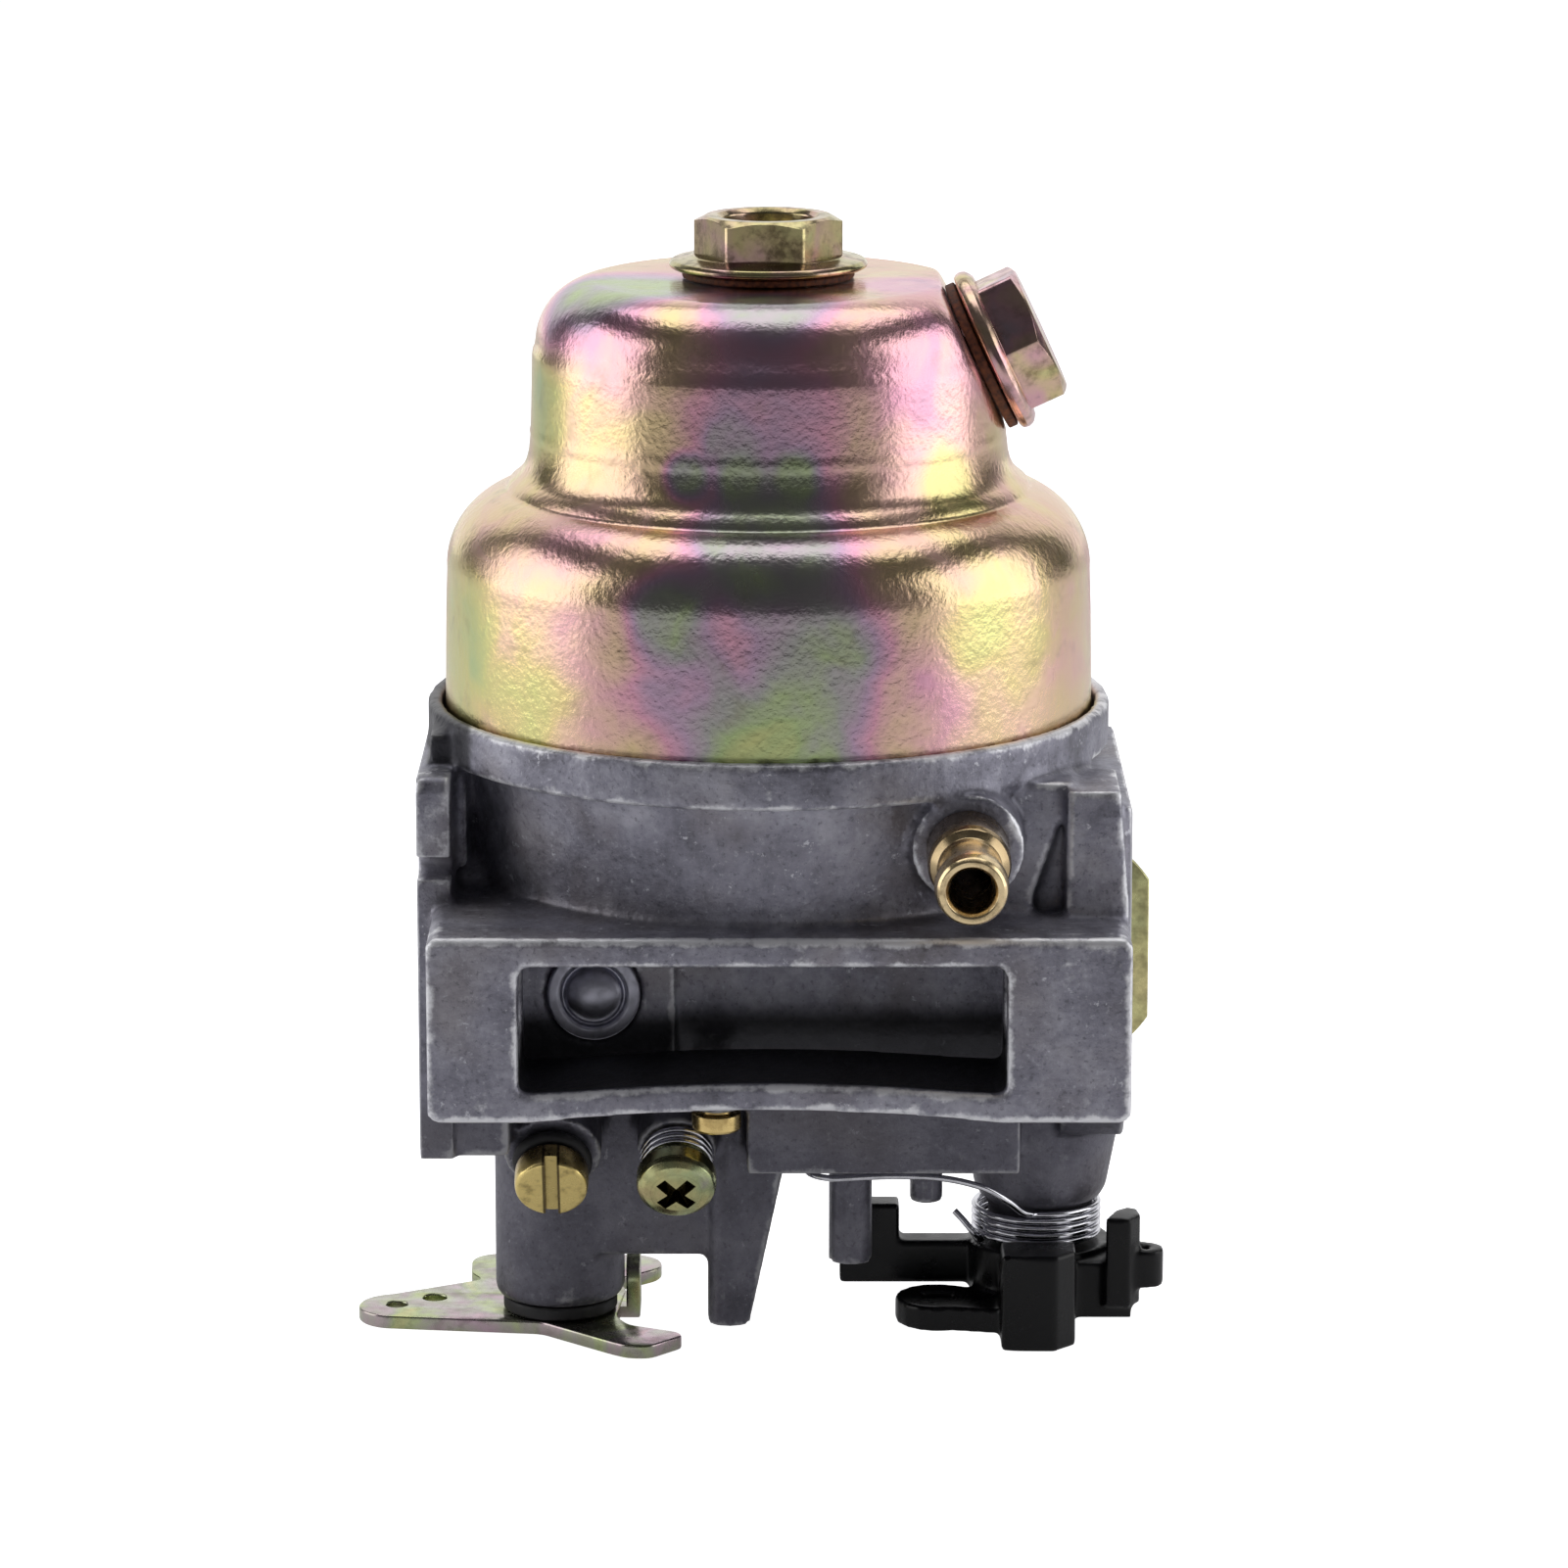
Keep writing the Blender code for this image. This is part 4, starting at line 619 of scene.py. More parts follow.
def bowl_plating():
    """The bowl's film is thicker and thinner in spots: (place in mm, reach in mm, film there)."""
    made, tree, shader = new_material("bowl_chromate", Metallic=1.0)
    place = add_place(tree)
    spots = [
        ((38.5, -12.0, 47.0), 10.0, 0.54),
        ((15.5, -13.0, 49.0), 5.5, 0.54),
        ((26.6, -17.5, 44.0), 8.5, 0.7),
        ((24.0, -17.5, 43.0), 3.0, 0.86),
        ((13.0, -13.5, 42.0), 5.0, 0.3),
        ((8.5, -7.0, 44.0), 6.0, 0.08),
        ((20.5, -17.6, 40.4), 2.6, 0.92),
        ((24.6, -18.3, 40.4), 2.6, 0.98),
        ((28.6, -18.3, 40.4), 2.6, 0.98),
        ((40.5, -13.0, 39.0), 4.0, 0.2),
        ((16.0, -5.0, 52.8), 10.0, 0.94),
        ((26.6, -13.0, 52.0), 7.0, 0.88),
        ((37.0, -4.0, 52.8), 6.0, 0.62),
        ((26.6, -21.5, 35.5), 9.0, 0.88),
        ((12.0, -18.0, 36.0), 5.0, 0.5),
        ((2.5, -9.0, 26.0), 9.0, 0.12),
        ((8.0, -17.0, 22.0), 6.0, 0.24),
        ((13.0, -21.0, 28.5), 4.5, 0.48),
        ((14.5, -22.0, 23.0), 3.5, 0.5),
        ((20.5, -24.2, 26.0), 6.5, 0.72),
        ((19.0, -24.2, 31.0), 5.0, 0.9),
        ((30.0, -25.0, 27.0), 8.5, 0.9),
        ((27.0, -24.5, 17.5), 10.5, 1.03),
        ((38.5, -22.0, 24.0), 6.0, 0.52),
        ((42.5, -19.0, 29.0), 4.5, 0.22),
        ((46.0, -16.0, 25.0), 4.5, 0.3),
        ((50.0, -9.0, 27.0), 6.0, 0.44),
    ]
    film = 0.37
    for centre, reach, wanted in spots:
        away = distance_from(tree, place, Vector(centre) * MM)
        amount = add_range(tree, away, reach * MM, reach * MM * 0.35)
        spot = add(tree, "ShaderNodeMix", {0: amount, 3: wanted}, data_type="FLOAT")
        if isinstance(film, float):
            spot.inputs[2].default_value = film
        else:
            tree.links.new(film, spot.inputs[2])
        film = spot.outputs[0]
    tints = add_group(tree, TINTS, Film=film, Patches=190.0, Spread=0.45, Depth=1.0)
    stain = add_range(tree, add_noise(tree, place, 420.0, 5.0, 0.6), 0.52, 0.8, 0.0, 0.35)
    colour = add_mix(tree, stain, tints["Color"], linear(140, 126, 102))
    rough = add_range(tree, tints["Mask"], 0.3, 0.7, 0.2, 0.28)
    grain = add_group(tree, GRAIN, Scale=1900.0, Depth=0.00007, Strength=0.6)["Normal"]
    drive(tree, shader, Base_Color=colour, Roughness=rough, Normal=grain)
    return made


fit(drawn_bowl(), bowl_plating(), "housing", "plated_bowl", "float_bowl")

# ---------------------------------------------------------------- bowl bolt and drain bolt
# Both bolts are cold-headed with a flange under the hexagon, which has a turned chamfer. The long one
# has a hollow top and holds the bowl; the short one closes the drain. Each sits on a fibre washer,
# and the drain bolt screws into a nut that is brazed inside the bowl.

HEX_ACROSS_FLATS = 10.0 * MM


def hexagonal(low, high):
    """A shape for turned(): between two heights, the radius stays within a hexagon's flats."""

    def reach(angle, radius, height):
        if not low <= height <= high:
            return radius
        sector = angle % (pi / 3) - pi / 6
        flat = HEX_ACROSS_FLATS / 2 / cos(sector)
        corner = HEX_ACROSS_FLATS / 2 / cos(pi / 6) * 0.985
        return min(radius, flat, corner)

    return reach


def hex_profile(flange, root, top, hollow, shank):
    """A bolt's outline in mm, with closely spaced heights where the chamfer meets the flats."""
    corner, rim, chamfer = 5.78, 4.75, 0.48
    shares = [i / 8 for i in range(9)]
    edge = [(corner - (corner - rim) * share, top - chamfer + chamfer * share**1.3) for share in shares]
    head = [(root, flange[-1][1] + 0.05), (corner, flange[-1][1] + 0.12), *edge]
    middle = [(3.95, top), (3.6, top - 0.35), (3.5, top - 1.9), (0, top - 2.1)] if hollow else [(0, top)]
    return in_mm([(0, -shank), (2.7, -shank), (2.95, -shank + 0.4), (2.95, -0.02), *flange, *head, *middle])


def bright_plating(name, film, spread, roughness, stained=(0.0, 0.5)):
    """Smooth chromate plating with brown stains, from their least to their greatest strength."""
    made, tree, shader = new_material(name, Metallic=1.0)
    tints = add_group(tree, TINTS, Film=film, Patches=260.0, Spread=spread, Depth=0.75)["Color"]
    stain = add_noise(tree, add_place(tree), 700.0, 4.0, 0.65)
    colour = add_mix(tree, add_range(tree, stain, 0.4, 0.75, *stained), tints, linear(92, 78, 58))
    rough = add_range(tree, stain, 0.3, 0.75, roughness, roughness + 0.16)
    grain = add_group(tree, GRAIN, Scale=1500.0, Depth=0.00003, Strength=0.3)["Normal"]
    drive(tree, shader, Base_Color=colour, Roughness=rough, Normal=grain)
    return made


bolt_plating = bright_plating("bolt_chromate", 0.3, 1.0, 0.14, (0.25, 0.85))
bolt_base = (BOWL_X, 0, BOWL_TOP + 0.75 * MM)
bolt_flange = [(7.2, 0), (7.55, 0.18), (7.6, 0.42), (7.35, 0.72), (6.5, 0.88), (6.1, 0.95)]
bolt_profile = hex_profile(bolt_flange, 5.9, 4.1, True, 12.5)
bolt_hexagon = hexagonal(1.05 * MM, 4.2 * MM)
bolt = turned("bowl_bolt_head", bolt_profile, bolt_base, (0, 0, 1), 0.1 * MM, 216, bolt_hexagon)
bolt_place = Matrix.Translation(bolt_base)
bolt.data.transform(bolt_place @ Matrix.Rotation(radians(-3), 4, "Z") @ bolt_place.inverted())
fit(bolt, bolt_plating, "housing", "plated_bolt", "bowl_bolt")

drain_base = DRAIN_SEAT + DRAIN_AXIS * MM
drain_flange = [(6.2, 0), (6.45, 0.2), (6.5, 0.6), (6.35, 1.0), (6.1, 1.2), (5.95, 1.3)]
drain_profile = hex_profile(drain_flange, 5.85, 4.5, False, 6.5)
drain_hexagon = hexagonal(1.38 * MM, 4.6 * MM)
drain = turned("drain_bolt_head", drain_profile, drain_base, DRAIN_AXIS, 0.1 * MM, 216, drain_hexagon)
drain_plating = bright_plating("drain_chromate", 0.5, 1.1, 0.14, (0.0, 0.6))
fit(drain, drain_plating, "housing", "plated_bolt", "drain_bolt")


def fibre():
    """Red-brown vulcanized fibre."""
    made, tree, shader = new_material("red_fibre", Metallic=0.0)
    threads = add_noise(tree, add_place(tree), 2400.0, 5.0)
    colour = add_ramp(tree, threads, [(0.35, linear(74, 40, 28)), (0.7, linear(142, 88, 60))])
    rough = add_range(tree, threads, 0.3, 0.7, 0.6, 0.85)
    grain = add_group(tree, GRAIN, Scale=3000.0, Depth=0.00004, Strength=0.6)["Normal"]
    drive(tree, shader, Base_Color=colour, Roughness=rough, Normal=grain)
    return made


def flat_ring(name, inner, outer, thickness, base, axis):
    """A plain ring, with its radii and thickness in mm."""
    loop = in_mm([(inner, 0), (outer, 0), (outer, thickness), (inner, thickness)])
    return turned(name, loop, base, axis, 0.15 * MM)


red_fibre = fibre()
GAP = 0.12 * MM
bolt_ring = flat_ring("bolt_fibre_ring", 3.15, 6.6, 0.5, (BOWL_X, 0, BOWL_TOP + GAP), (0, 0, 1))
fit(bolt_ring, red_fibre, "housing", "washer_fibre", "bowl_bolt_washer")
drain_ring = flat_ring("drain_fibre_ring", 3.15, 6.0, 0.75, DRAIN_SEAT + DRAIN_AXIS * GAP, DRAIN_AXIS)
fit(drain_ring, red_fibre, "housing", "washer_fibre", "drain_bolt_washer")
nut_base = DRAIN_SEAT - DRAIN_AXIS * (BOWL_WALL + GAP)
nut = flat_ring("brazed_drain_nut", 3.1, 4.9, 3.6, nut_base, -DRAIN_AXIS)
fit(nut, bolt_plating, "housing", "plated_bolt", "drain_nut")

# ---------------------------------------------------------------- fuel inlet
# A brass tube is turned with a shoulder and a raised lip for the fuel hose, and pressed into the
# casting. Its root has browned where it was never touched, and its lip is bright.

INLET = Vector((41.5, -22.5, 13.1)) * MM
INLET_TILT = radians(3.5)
INLET_AXIS = Vector((0, -cos(INLET_TILT), -sin(INLET_TILT)))


def height_along(tree, place, start, axis):
    """How far a point lies along an axis from its start, in metres."""
    offset = add(tree, "ShaderNodeVectorMath", {0: place, 1: tuple(start)}, operation="SUBTRACT")
    inputs = {0: offset.outputs["Vector"], 1: tuple(axis)}
    return add(tree, "ShaderNodeVectorMath", inputs, operation="DOT_PRODUCT").outputs["Value"]


def brass(name, fresh, aged, start=None, axis=None, reach=1.0, roughness=0.2, slot=None):
    """Brass that is aged at its start and fresh at a reach along its axis, or evenly mottled.

    Slot, where given, is the distance and direction from the axis of a slot's walls, which are darkened with
    painted shade.
    """
    made, tree, shader = new_material(name, Metallic=1.0)
    place = add_place(tree)
    cloud = add_noise(tree, place, 800.0, 5.0, 0.6)
    age = add_range(tree, cloud, 0.48, 0.74, 0.0, 0.6)
    if start is not None:
        height = height_along(tree, place, start, axis)
        root = add_range(tree, height, reach, reach * 0.35, 0.0, 0.85)
        age = add_math(tree, "MAXIMUM", age, root)
    colour = add_mix(tree, age, fresh, aged)
    if slot is not None:
        away, direction = slot
        across = add_math(tree, "ABSOLUTE", height_along(tree, place, start, direction))
        # Painted shade: the slot's walls are darkened.
        slot_wall_shade = add_band(tree, across, away - 0.1 * MM, away + 0.22 * MM, 0.1 * MM)
        colour = add_mix(tree, add_product(tree, slot_wall_shade, 0.85), colour, linear(58, 46, 40))
    rough = add_range(tree, cloud, 0.3, 0.7, roughness, roughness + 0.14)
    grain = add_group(tree, GRAIN, Scale=2200.0, Depth=0.00002, Strength=0.3)["Normal"]
    drive(tree, shader, Base_Color=colour, Roughness=rough, Normal=grain)
    return made


fresh_brass, brown_brass = linear(238, 214, 168), linear(104, 80, 54)
nozzle_brass = brass("inlet_brass", fresh_brass, brown_brass, INLET, INLET_AXIS, 7.5 * MM, 0.17)
nozzle_profile = in_mm([
    (1.45, -3.6), (2.45, -3.6), (2.45, 0.12), (3.1, 0.12), (3.1, 3.9), (2.95, 4.5), (2.4, 5.0), (2.32, 5.6),
    (2.3, 8.3), (2.45, 8.8), (2.75, 9.2), (2.72, 9.9), (2.58, 10.6), (2.35, 10.9), (1.95, 10.86), (1.7, 10.5),
    (1.55, 9.6),
])
nozzle = turned("inlet_tube", nozzle_profile, INLET, INLET_AXIS, 0.1 * MM)
fit(nozzle, nozzle_brass, "housing", "nozzle_brass", "fuel_inlet_nozzle")

# ---------------------------------------------------------------- float valve
# A brass seat is pressed into the chamber. The needle with its rubber tip hangs by a wire clip from
# the tang of a hollow moulded float, which hinges on a steel pin between two posts.

FLOAT_TURN = radians(45)


def at_inlet(radial, across, height):
    """A place in the float chamber: radial points from the tower to the inlet, across beside it."""
    turn = Matrix.Rotation(FLOAT_TURN, 3, "Z")
    return Vector((BOWL_X, 0, 0)) + turn @ Vector((across, -radial, height))


def steel(name, colour, roughness):
    """Bare steel, dull in clouds."""
    made, tree, shader = new_material(name, Metallic=1.0)
    cloud = add_noise(tree, add_place(tree), 1100.0, 4.0)
    shade = add_range(tree, cloud, 0.45, 0.8, 0.0, 0.5)
    dull = (*[0.45 * part for part in colour[:3]], 1)
    rough = add_range(tree, cloud, 0.3, 0.7, roughness, roughness + 0.12)
    grain = add_group(tree, GRAIN, Scale=3000.0, Depth=0.00001, Strength=0.3)["Normal"]
    drive(tree, shader, Base_Color=add_mix(tree, shade, colour, dull), Roughness=rough, Normal=grain)
    return made


def moulded_plastic(name, dark, light, roughness):
    """Moulded plastic with faint flow marks, rubbed pale along its edges."""
    made, tree, shader = new_material(name, Metallic=0.0, Specular_IOR_Level=0.3)
    flow = add_noise(tree, add_place(tree), 300.0, 5.0, 0.6)
    colour = add_ramp(tree, flow, [(0.35, dark), (0.75, light)])
    rough = add_range(tree, flow, 0.3, 0.7, roughness, roughness + 0.14)
    wear = add_group(tree, WEAR, Start=0.12, Full=0.3, Scale=1200.0)["Mask"]
    colour = add_mix(tree, add_product(tree, wear, 0.35), colour, linear(150, 148, 156))
    grain = add_group(tree, GRAIN, Scale=2400.0, Depth=0.00003, Strength=0.5)["Normal"]
    drive(tree, shader, Base_Color=colour, Roughness=rough, Normal=grain)
    return made


bright_steel = steel("bright_steel", linear(214, 213, 218), 0.2)
jet_brass = brass("turned_brass", linear(236, 208, 140), linear(160, 124, 70), roughness=0.18)
seat_base = at_inlet(13.0 * MM, 0, 10.8 * MM)
seat_profile = in_mm([(0.9, 0), (2.4, 0), (2.4, 5.6), (1.75, 5.6), (1.75, 3.2), (0.9, 2.2)])
fit(turned("valve_seat", seat_profile, seat_base), jet_brass, "housing", "jet_brass", "needle_seat")
FLUTES_LOW, FLUTES_HIGH = 4.3 * MM, 7.1 * MM
FLUTE_DISTANCE = 1.28 * MM


def fluted(angle, radius, height):
    """Four flats down the needle's sides, which let the fuel past."""
    if FLUTES_LOW < height < FLUTES_HIGH:
        sector = (angle + pi / 4) % (pi / 2) - pi / 4
        return min(radius, FLUTE_DISTANCE / cos(sector))
    return radius


needle_profile = in_mm([
    (0, 1.9), (0.5, 2.2), (1.5, 3.9), (1.6, 4.2), (1.6, 7.2), (0.8, 7.3), (0.8, 8.0), (1.2, 8.1), (1.2, 8.5),
    (0, 8.5),
])
needle = turned("valve_needle", needle_profile, seat_base, soften=0.08 * MM, shape=fluted)
fit(needle, bright_steel, "needle", "bright_steel", "needle_valve")


def wire(name, points, diameter):
    """Round wire along a list of points, as a mesh tube with closed ends."""
    curve = bpy.data.curves.new(name, "CURVE")
    curve.dimensions = "3D"
    curve.bevel_depth = diameter / 2
    curve.bevel_resolution = 5
    curve.use_fill_caps = True
    spline = curve.splines.new("POLY")
    spline.points.add(len(points) - 1)
    for point, place in zip(spline.points, points):
        point.co = (*place, 1)
    tube = applied(linked(name, curve))
    tube.data.shade_smooth()
    return tube


clip_arc = arc((0, 0), 1.15 * MM, -60, 240, 40)
clip_points = [at_inlet(13.0 * MM - y, x, 18.45 * MM) for x, y in clip_arc]
fit(wire("needle_wire_clip", clip_points, 0.4 * MM), bright_steel, "needle", "spring_steel", "needle_clip")
float_plastic = moulded_plastic("float_plastic_white", linear(206, 202, 190), linear(226, 223, 214), 0.38)
float_piece = moulded("moulded_float", "float", 0.42 * MM, 2, 6, 40_000)
fit(float_piece, float_plastic, "float_arm", "float_plastic", "float")
pin_ends = [at_inlet(17.8 * MM, side * 7.9 * MM, 21.4 * MM) for side in (-1, 1)]
pin_length = (pin_ends[1] - pin_ends[0]).length
pin_profile = [(0, 0), (0.85 * MM, 0), (0.85 * MM, pin_length), (0, pin_length)]
hinge_pin = turned("float_hinge_pin", pin_profile, pin_ends[0], pin_ends[1] - pin_ends[0], 0.2 * MM, 48)
fit(hinge_pin, bright_steel, "housing", "bright_steel", "float_pin")

# ---------------------------------------------------------------- jets
# The main jet and the emulsion tube stand in the casting's tower. The pilot jet is pushed into a boss
# on the front, with a slot in its face and a rubber ring behind its head. All are turned from brass.

jet_profile = in_mm([(0.45, 0), (1.7, 0), (2.45, 0.6), (2.45, 4.4), (0.45, 4.4)])
main_jet_base = Vector((BOWL_X, 0, 33.2 * MM))
main_jet = turned("main_jet_turned", jet_profile, main_jet_base)


def block(name, low, high):
    """A box between two corners, in mm."""
    low, high = Vector(low) * MM, Vector(high) * MM
    bm = bmesh.new()
    bmesh.ops.create_cube(bm, size=1)
    bmesh.ops.scale(bm, vec=high - low, verts=bm.verts)
    bmesh.ops.translate(bm, vec=(low + high) / 2, verts=bm.verts)
    return smooth_object(name, bm)


def circle(x, y, radius, count=48):
    angles = [2 * pi * i / count for i in range(count)]
    return [(x + radius * cos(a), y + radius * sin(a)) for a in angles]


def carved(obj, tool, operation="DIFFERENCE"):
    """The object with a cutter taken away or a solid added, and the other one gone."""
    change = obj.modifiers.new("change", "BOOLEAN")
    change.operation = operation
    change.solver = "EXACT"
    change.object = tool
    obj = applied(obj)
    bpy.data.objects.remove(tool)
    obj.data.shade_smooth()
    obj.data.set_sharp_from_angle(angle=radians(38))
    return obj


slot_cutter = block("cutter", (-4, -0.35, 3.6), (4, 0.35, 6))
slot_cutter.data.transform(Matrix.Translation(main_jet_base))
fit(carved(main_jet, slot_cutter), jet_brass, "housing", "jet_brass", "main_jet")
tube_profile = in_mm([(0.8, 0), (1.5, 0), (1.5, 9), (1.8, 9.4), (1.8, 29.2), (0.8, 29.2)])
tube = turned("emulsion_tube", tube_profile, (BOWL_X, 0, 3.6 * MM))
fit(tube, jet_brass, "housing", "jet_brass", "main_nozzle")

SCREW_TILT = radians(28)
SCREW_AXIS = Vector((0, -cos(SCREW_TILT), -sin(SCREW_TILT)))
PILOT_SEAT = Vector((9.9, -9.3, -14.2)) * MM
PILOT_FACE = 3.9
PILOT_SLOT = 0.5
pilot_profile = in_mm([
    (0, -2.9), (1.6, -2.9), (1.9, -2.6), (1.9, 1.45), (2.55, 1.5), (2.8, 1.7), (2.85, 2.1), (2.85, 3.2),
    (2.78, PILOT_FACE - 0.2), (2.6, PILOT_FACE), (0, PILOT_FACE),
])
pilot_brass = brass(
    "pilot_brass", linear(240, 216, 142), linear(96, 72, 44), PILOT_SEAT, SCREW_AXIS, PILOT_FACE * MM, 0.24,
    (PILOT_SLOT * MM, (1, 0, 0)),
)
pilot = turned("pilot_jet_turned", pilot_profile, PILOT_SEAT, SCREW_AXIS, 0.14 * MM)
pilot_cutter = block("cutter", (-PILOT_SLOT, -4, PILOT_FACE - 0.8), (PILOT_SLOT, 4, 6))
pilot_cutter.data.transform(Matrix.Translation(PILOT_SEAT) @ along(SCREW_AXIS))
fit(carved(pilot, pilot_cutter), pilot_brass, "housing", "jet_brass", "pilot_jet")
ring_profile = circle(2.55 * MM, 0.8 * MM, 0.55 * MM, 20)
o_ring = turned("pilot_rubber_ring", ring_profile, PILOT_SEAT, SCREW_AXIS, 0, 72)
fit(o_ring, black_rubber, "housing", "seal_rubber", "pilot_jet_oring")

# ---------------------------------------------------------------- passage plugs
# Drilled passages are closed for good: in the front pocket by a steel cup with a ball pressed into
# its middle, and under the ledge by a small brass plug.

CUP_SEAT = Vector((13.3, -13.1, -0.2)) * MM
BRASS_PLUG_SEAT = Vector((22.6, -10.9, -8.6)) * MM
ball = [(2.25 * cos(a), 0.8 + 0.95 * sin(a)) for a in [pi / 2 * i / 10 for i in range(10)]]
cup_profile = in_mm([
    (0, 0), (3.55, 0), (3.55, 1.0), (3.45, 1.12), (2.75, 1.16), (2.5, 1.05), (2.42, 0.75), (2.3, 0.75),
    *ball, (0, 1.75),
])
cup = turned("pocket_cup_plug", cup_profile, CUP_SEAT, (0, -1, 0), 0.12 * MM)
plug_steel = steel("plug_steel", linear(178, 178, 190), 0.3)
fit(cup, plug_steel, "housing", "plug_steel", "idle_passage_plug")
plug_profile = in_mm([
    (0, 0), (1.2, 0), (1.2, 1.6), (1.9, 1.6), (1.9, 2.8), (1.7, 3.0), (0.9, 3.0), (0.7, 2.8), (0, 2.75),
])
plug_base = BRASS_PLUG_SEAT - Vector((0, 0, GAP))
brass_plug = turned("ledge_brass_plug", plug_profile, plug_base, (0, 0, -1), 0.1 * MM, 72)
fit(brass_plug, jet_brass, "housing", "jet_brass", "transfer_passage_plug")

# ---------------------------------------------------------------- throttle
# A steel spindle is milled flat where two brass screws clamp the butterfly to it. The lever is
# stamped from steel sheet, plated yellow, and staked on the spindle's end under a rubber dust washer.

LEVER_TOP = -29.3 * MM
LEVER_LOW = LEVER_TOP - 1.1 * MM
SPINDLE_RADIUS = 2.4 * MM
spindle_low, spindle_top = LEVER_LOW - 0.9 * MM, 12.6 * MM
spindle_length = spindle_top - spindle_low
flat_low, flat_high = -8.6 * MM - spindle_low, 8.6 * MM - spindle_low


def milled_flat(angle, radius, height):
    """The spindle's half section, where the butterfly lies."""
    if flat_low < height < flat_high and cos(angle) > 1e-6:
        return min(radius, 0.02 * MM / cos(angle))
    return radius


flat_ends = [flat_low - 0.02 * MM, flat_low + 0.02 * MM, flat_high - 0.02 * MM, flat_high + 0.02 * MM]
spindle_profile = [
    (0, 0), (1.7 * MM, 0), (1.7 * MM, 0.7 * MM), (SPINDLE_RADIUS, 0.8 * MM),
    *[(SPINDLE_RADIUS, height) for height in [*flat_ends, spindle_length]], (0, spindle_length),
]
spindle_base = (THROTTLE_X, 0, spindle_low)
spindle = turned("throttle_spindle", spindle_profile, spindle_base, soften=0.0, shape=milled_flat)
fit(spindle, bright_steel, "throttle", "bright_steel", "throttle_shaft")

plate_profile = in_mm([(0, 0), (8.35, 0), (8.35, 0.9), (0, 0.9)])
plate_brass = brass("sheet_brass", linear(214, 180, 108), linear(158, 122, 70), roughness=0.26)
plate_base = (THROTTLE_X + GAP, 0, 0)
butterfly = turned("throttle_butterfly", plate_profile, plate_base, (1, 0, 0), 0.12 * MM, 120)
fit(butterfly, plate_brass, "throttle", "plate_brass", "throttle_plate")
screw_profile = in_mm([(0, 0), (1.9, 0), (1.9, 0.45), (1.6, 0.85), (1.1, 1.08), (0, 1.1)])
slot_low, slot_high = (0.65, -3, -0.2), (2, 3, 0.2)
for label, height in (("upper", 3.2 * MM), ("lower", -3.2 * MM)):
    screw_base = Vector((THROTTLE_X + GAP + 0.92 * MM, 0, height))
    screw = turned("butterfly_screw_" + label, screw_profile, screw_base, (1, 0, 0), 0.08 * MM, 64)
    slot_cutter = block("cutter", slot_low, slot_high)
    slot_cutter.data.transform(Matrix.Translation(screw_base))
    screw = carved(screw, slot_cutter)
    fit(screw, bright_steel, "throttle", "bright_steel", "throttle_plate_screw_" + label)


def stamped(name, loops, low, high, edge, across="Z"):
    """Sheet or moulding cut to closed loops of 2-D points, the later ones holes, with round edges.

    It lies in XY for across="Z", in XZ for "Y" and in YZ for "X".
    """
    curve = bpy.data.curves.new(name, "CURVE")
    curve.dimensions = "2D"
    curve.fill_mode = "BOTH"
    curve.extrude = (high - low) / 2 - edge
    curve.bevel_depth = edge
    curve.offset = -edge
    curve.bevel_resolution = 2
    for loop in loops:
        spline = curve.splines.new("POLY")
        spline.points.add(len(loop) - 1)
        for point, place in zip(spline.points, loop):
            point.co = (place[0], place[1], 0, 1)
        spline.use_cyclic_u = True
    flat = applied(linked(name, curve))
    bm = bmesh.new()
    bm.from_mesh(flat.data)
    bpy.data.objects.remove(flat)
    middle = (low + high) / 2
    for vert in bm.verts:
        a, b, c = vert.co
        c += middle
        vert.co = {"Z": (a, b, c), "Y": (a, c, b), "X": (c, a, b)}[across]
    return smooth_object(name, bm)


lever_outline = [
    *arc((-2.9, 0.4), 3.0, 100, 262, 24), (8.7, -4.1), (14.2, -9.2), (15.6, -10.3), (17.4, -10.4),
    (19.9, -7.7), (19.5, -6.7), (15.6, -4.8), (14.6, -2.6), (15.2, 4.6), (14.4, 7.4),
    *arc((15.3, 11.6), 2.6, -50, 130, 18), (10.6, 11.8), *arc((4.8, 12.2), 2.3, 70, 190, 14),
    (2.6, 9.2), (3.6, 7.4),
]
# rounded() leaves corners at x = 0 or below alone, so the outline is moved out and back again.
moved_out = in_mm([(x + 20, y) for x, y in lever_outline])
lever_loop = [(x - 20 * MM, y) for x, y in rounded(moved_out, 0.7 * MM)]
link_hole = circle(-2.9 * MM, 0.6 * MM, 0.85 * MM)
spring_hole = circle(0, 2.4 * MM, 0.95 * MM)
spindle_hole = circle(THROTTLE_X, 0, SPINDLE_RADIUS + 0.05 * MM)
lever_loops = [lever_loop, link_hole, spring_hole, spindle_hole]
lever = stamped("throttle_arm", lever_loops, LEVER_LOW, LEVER_TOP, 0.16 * MM)
ear_loop = in_mm([(0.2, -30.3), (4.4, -30.3), *arc((2.3, -27.4), 2.1, 0, 180, 24)])
ear = stamped("ear", [ear_loop], 15.3 * MM, 16.4 * MM, 0.16 * MM, "X")
foot = block("foot", (14.0, 0.2, -30.3), (16.3, 4.4, -29.4))
lever = carved(carved(lever, foot, "UNION"), ear, "UNION")
lever_plating = bright_plating("lever_chromate", 0.9, 1.1, 0.18, (0.0, 0.28))
fit(lever, lever_plating, "throttle", "plated_lever", "throttle_lever")
washer_loop = in_mm([(2.48, 0), (4.5, 0), (4.5, 1.06), (2.48, 1.06)])
washer_base = (THROTTLE_X, 0, LEVER_TOP + GAP)
dust_washer = turned("spindle_dust_washer", washer_loop, washer_base, soften=0.25 * MM)
